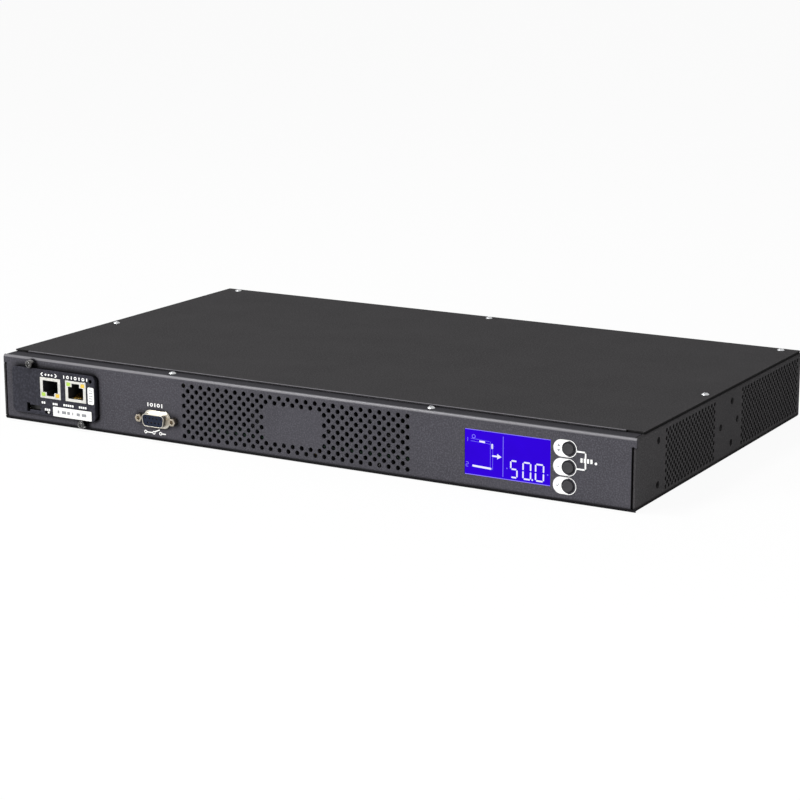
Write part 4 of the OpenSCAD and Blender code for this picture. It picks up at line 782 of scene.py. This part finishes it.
class SWITCH_OT_card_labels(PieceMaker, bpy.types.Operator):
    """Sticks the plain white labels on the card's plate and prints its port marks"""
    bl_idname = "switch.card_labels"
    bl_label = "Card labels"

    def execute(self, context):
        deep, film = self.sizes.ink / MM, self.sizes.label / MM
        bm = bmesh.new()
        for left, right, low, high in ((-150.4, -145.7, 18.0, 28.8), (-178.1, -148.0, 7.2, 13.3)):
            mid = (low + high) / 2
            bar(bm, (left, mid), (right, mid), high - low, film, 0.05)
        new_piece("card_vinyl_labels", bm, on_front(CARD_Y), "white_vinyl_label", "white_plastic")
        # Plain blocks on the long label, and plain strokes on the short one.
        bm = bmesh.new()
        for start, width in ((-174.6, 1.5), (-171.2, 3.4), (-167.0, 2.2), (-163.0, 0.8),
                             (-159.6, 2.6), (-155.6, 3.6)):
            bar(bm, (start, 10.3), (start + width, 10.3), 1.9, film + deep)
        for i in range(5):
            z = 20.0 + 1.7 * i
            bar(bm, (-149.5, z), (-146.6, z), 0.45, film + deep)
        new_piece("card_label_marks", bm, on_front(CARD_Y), *GREY_PRINT)
        # Over the first jack two angles about three dots, over the second ones and noughts.
        bm = bmesh.new()
        angle_x, bits_x, signs_z = -180.7, -159.8, 33.2
        bits_z, thick = signs_z + 0.1, 0.7
        for side in (-1, 1):
            tip = (angle_x + side * 6.3, signs_z)
            for lift in (-1.1, 1.1):
                bar(bm, (tip[0] - side * 1.5, tip[1] + lift), tip, 0.6, deep)
            for away in (9.0, 3.0):
                x = bits_x + side * away
                bar(bm, (x, bits_z - 1.0), (x, bits_z + 1.0), thick, deep)
            ring(bm, bits_x + side * 6.0, bits_z, 0.5, 1.05, deep, steps=20)
        for i in range(3):
            disc(bm, angle_x + 2.4 * (i - 1), signs_z, 0.65, deep, 20)
        ring(bm, bits_x, bits_z, 0.5, 1.05, deep, steps=20)
        # Rows of small blocks stand where the words under the jacks would.
        for left, right, z in ((-187.0, -183.8, 15.0), (-178.2, -174.1, 15.0),
                               (-169.8, -161.4, 15.2), (-157.6, -151.4, 15.2),
                               (-184.6, -180.1, 10.7)):
            count = max(2, round((right - left) / 1.6))
            pitch = (right - left) / count
            for i in range(count):
                start = left + pitch * i
                bar(bm, (start, z), (start + pitch * 0.72, z), 1.3, deep)
        new_piece("card_port_marks", bm, on_front(CARD_Y), *WHITE_PRINT)
        return {"FINISHED"}


class SWITCH_OT_buttons(PieceMaker, bpy.types.Operator):
    """Turns the three front buttons with rounded rims and dished faces"""
    bl_idname = "switch.buttons"
    bl_label = "Front buttons"

    def execute(self, context):
        radius, stem, chamfer = 3.25, 1.6, 0.1
        seat, plate = -126.0, -125.0  # front and back of the flange behind the panel
        # The dished face and its rounded rim, as radius and depth behind the foremost point.
        face = [(0, 0.22), (1.3, 0.17), (2.3, 0.06), (radius - 0.42, 0), (radius - 0.2, 0.06),
                (radius - 0.06, 0.2), (radius, 0.42)]
        for number in range(1, len(BUTTON_ZS) + 1):
            node = f"button_{number}"
            low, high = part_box(node)
            middle = (low + high) / 2
            front, back = low[1] / MM, high[1] / MM
            flange = (high[0] - low[0]) / 2 / MM
            profile = [(r, front + depth) for r, depth in face] + [
                (radius, seat), (flange - chamfer, seat), (flange, seat + chamfer),
                (flange, plate - chamfer), (flange - chamfer, plate), (stem, plate),
                (stem, back - 0.15), (stem - 0.15, back), (0, back)]
            bm = bmesh.new()
            lathe(bm, [(r, -y) for r, y in profile])
            place = Matrix.Translation((middle[0], 0, middle[2])) @ on_front(0)
            cap = new_piece(f"button_{number}_cap", bm, place, "button_rubber", "button_cap",
                            f"button_{number}", smooth=50)
            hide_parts(node)
        return {"FINISHED"}


class SWITCH_OT_breaker_threads(PieceMaker, bpy.types.Operator):
    """Cuts the look of a thread round each breaker's neck"""
    bl_idname = "switch.breaker_threads"
    bl_label = "Breaker threads"

    def execute(self, context):
        root, crest, half_width, pitch = 5.49, 5.62, 0.22, 0.5
        for number in (1, 2):
            low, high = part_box(f"breaker_{number}")
            middle_x, neck_end = (low[0] + high[0]) / 2, high[1] / MM
            bm = bmesh.new()
            for turn in range(2):
                z = neck_end - 0.3 - pitch * turn
                lathe(bm, [(root, z - half_width), (crest, z), (root, z + half_width)], 32)
            place = Matrix.Translation((middle_x, 0, SOCKET_Z * MM)) @ on_rear(0)
            new_piece(f"breaker_{number}_thread", bm, place, "black_nylon", "black_plastic",
                      smooth=60)
        return {"FINISHED"}


class SWITCH_OT_rear_prints(PieceMaker, bpy.types.Operator):
    """Prints plain source and breaker numbers on the rear wall"""
    bl_idname = "switch.rear_prints"
    bl_label = "Rear prints"

    def execute(self, context):
        deep = self.sizes.ink / MM
        bm = bmesh.new()
        # Each number stands over its inlet or breaker. A one has bars on its right side only.
        for x, number, shift in ((-192.0, "1", 1.8), (-147.0, "2", 0.9), (-115.5, "1", 1.8),
                                 (29.5, "2", 0.9)):
            seven_segment(bm, number, -x - shift, 38.4, 1.8, 2.6, 0.42, deep)
        # A line with turned-down ends spans each bank of outlets.
        half_span, line_z, line = 58, 38.0, 0.4
        for x in (-43.0, 102.0):
            bar(bm, (-x - half_span, line_z), (-x + half_span, line_z), line, deep)
            for end in (-half_span, half_span):
                bar(bm, (-x + end, line_z + line / 2), (-x + end, 36.6), line, deep)
        new_piece("rear_numbers", bm, on_rear(REAR_Y), *WHITE_PRINT)
        return {"FINISHED"}


# ---- the stage ----

def straight_rays(tree):
    """One for rays from the camera, a reflection or through glass, none for light's own bounces."""
    path = add_node(tree, "ShaderNodeLightPath").outputs
    seen = path["Is Camera Ray"]
    for other in ("Is Glossy Ray", "Is Transmission Ray"):
        seen = add_node(tree, "ShaderNodeMath", {0: seen, 1: path[other]},
                        operation="MAXIMUM").outputs[0]
    return seen


def paper_floor():
    """Matt white paper: it keeps the switch's soft shadow, and otherwise reads as plain white."""
    tree, place = new_material("white_paper_floor")
    clouds = grain(tree, place, 900.0, 2.0)
    paper = add_node(tree, "ShaderNodeBsdfPrincipled", {
        "Base Color": laid_over(tree, linear("F4F4F4"), linear("F8F8F8"), clouds, MASK),
        "Roughness": 0.9, "Specular IOR Level": 0.1})
    white = add_node(tree, "ShaderNodeEmission", {"Color": linear("FFFFFF"), "Strength": 1.0})
    share = add_node(tree, "ShaderNodeMath", {0: straight_rays(tree), 1: PAPER_WHITE},
                     operation="MULTIPLY").outputs[0]
    both = add_node(tree, "ShaderNodeMixShader",
                    {0: share, 1: paper.outputs[0], 2: white.outputs[0]})
    add_node(tree, "ShaderNodeOutputMaterial", {"Surface": both.outputs[0]})
    bm = bmesh.new()
    bmesh.ops.create_grid(bm, x_segments=8, y_segments=8, size=12.0)
    mesh = bpy.data.meshes.new("floor")
    bm.to_mesh(mesh)
    bm.free()
    mesh.materials.append(bpy.data.materials["white_paper_floor"])
    return bpy.data.objects.new("floor", mesh)


def white_surroundings():
    """A world that shows as plain white and lights the switch less strongly."""
    world = bpy.data.worlds.new("white_surroundings")
    world.use_nodes = True
    tree = world.node_tree
    tree.nodes.clear()
    room, white = (add_node(tree, "ShaderNodeBackground",
                            {"Color": linear("FFFFFF"), "Strength": strength}).outputs[0]
                   for strength in (ROOM_STRENGTH, 1.0))
    mixed = add_node(tree, "ShaderNodeMixShader", {0: straight_rays(tree), 1: room, 2: white})
    add_node(tree, "ShaderNodeOutputWorld", {"Surface": mixed.outputs[0]})
    return world


class SWITCH_OT_stage(PieceMaker, bpy.types.Operator):
    """Sets the plain floor, the soft lights, the white surroundings and the camera"""
    bl_idname = "switch.stage"
    bl_label = "Stage"

    def execute(self, context):
        scene = context.scene
        floor = paper_floor()
        scene.collection.objects.link(floor)
        for name, place, size, power in SOFTBOXES:
            lamp = bpy.data.lights.new(name, "AREA")
            lamp.energy, lamp.size = power, size
            holder = bpy.data.objects.new(name, lamp)
            scene.collection.objects.link(holder)
            holder.location = place
            aim = Vector(LIGHT_TARGET) - Vector(place)
            holder.rotation_euler = aim.to_track_quat("-Z", "Y").to_euler()
        scene.world = white_surroundings()
        scene.view_settings.view_transform = "Standard"
        camera = bpy.data.cameras.new("front_right_camera")
        camera.sensor_width, camera.lens = CAMERA_SENSOR, CAMERA_LENS
        camera.clip_start, camera.clip_end = CAMERA_RANGE
        holder = bpy.data.objects.new("front_right_camera", camera)
        scene.collection.objects.link(holder)
        holder.location = CAMERA_PLACE
        holder.rotation_euler = [math.radians(turn) for turn in CAMERA_TURN]
        scene.camera = holder
        return {"FINISHED"}


OPERATORS = (SWITCH_OT_finishes, SWITCH_OT_button_prints, SWITCH_OT_panel_prints, SWITCH_OT_display,
             SWITCH_OT_card_labels, SWITCH_OT_buttons, SWITCH_OT_breaker_threads,
             SWITCH_OT_rear_prints, SWITCH_OT_stage)


class SWITCH_PT_sidebar(bpy.types.Panel):
    """Lists the pieces of the switch in the sidebar of the 3D view"""
    bl_idname = "SWITCH_PT_sidebar"
    bl_label = "Transfer switch"
    bl_space_type = "VIEW_3D"
    bl_region_type = "UI"
    bl_category = "Transfer switch"

    def draw(self, context):
        for group in (context.scene.switch_colours, context.scene.switch_sizes):
            for name in group.__annotations__:
                self.layout.prop(group, name)
        for operator in OPERATORS:
            self.layout.operator(operator.bl_idname)


CLASSES = (SwitchColours, SwitchSizes, *OPERATORS, SWITCH_PT_sidebar)


def register():
    """Registers the classes, and puts their settings on the scene."""
    for made in CLASSES:
        bpy.utils.register_class(made)
    bpy.types.Scene.switch_colours = bpy.props.PointerProperty(type=SwitchColours)
    bpy.types.Scene.switch_sizes = bpy.props.PointerProperty(type=SwitchSizes)


def unregister():
    """Takes the settings and the classes away again."""
    del bpy.types.Scene.switch_sizes
    del bpy.types.Scene.switch_colours
    for made in reversed(CLASSES):
        bpy.utils.unregister_class(made)


def main():
    """Makes every piece in order."""
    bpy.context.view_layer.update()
    register()
    for operator in OPERATORS:
        group, name = operator.bl_idname.split(".")
        getattr(getattr(bpy.ops, group), name)()


if __name__ == "__main__":
    main()
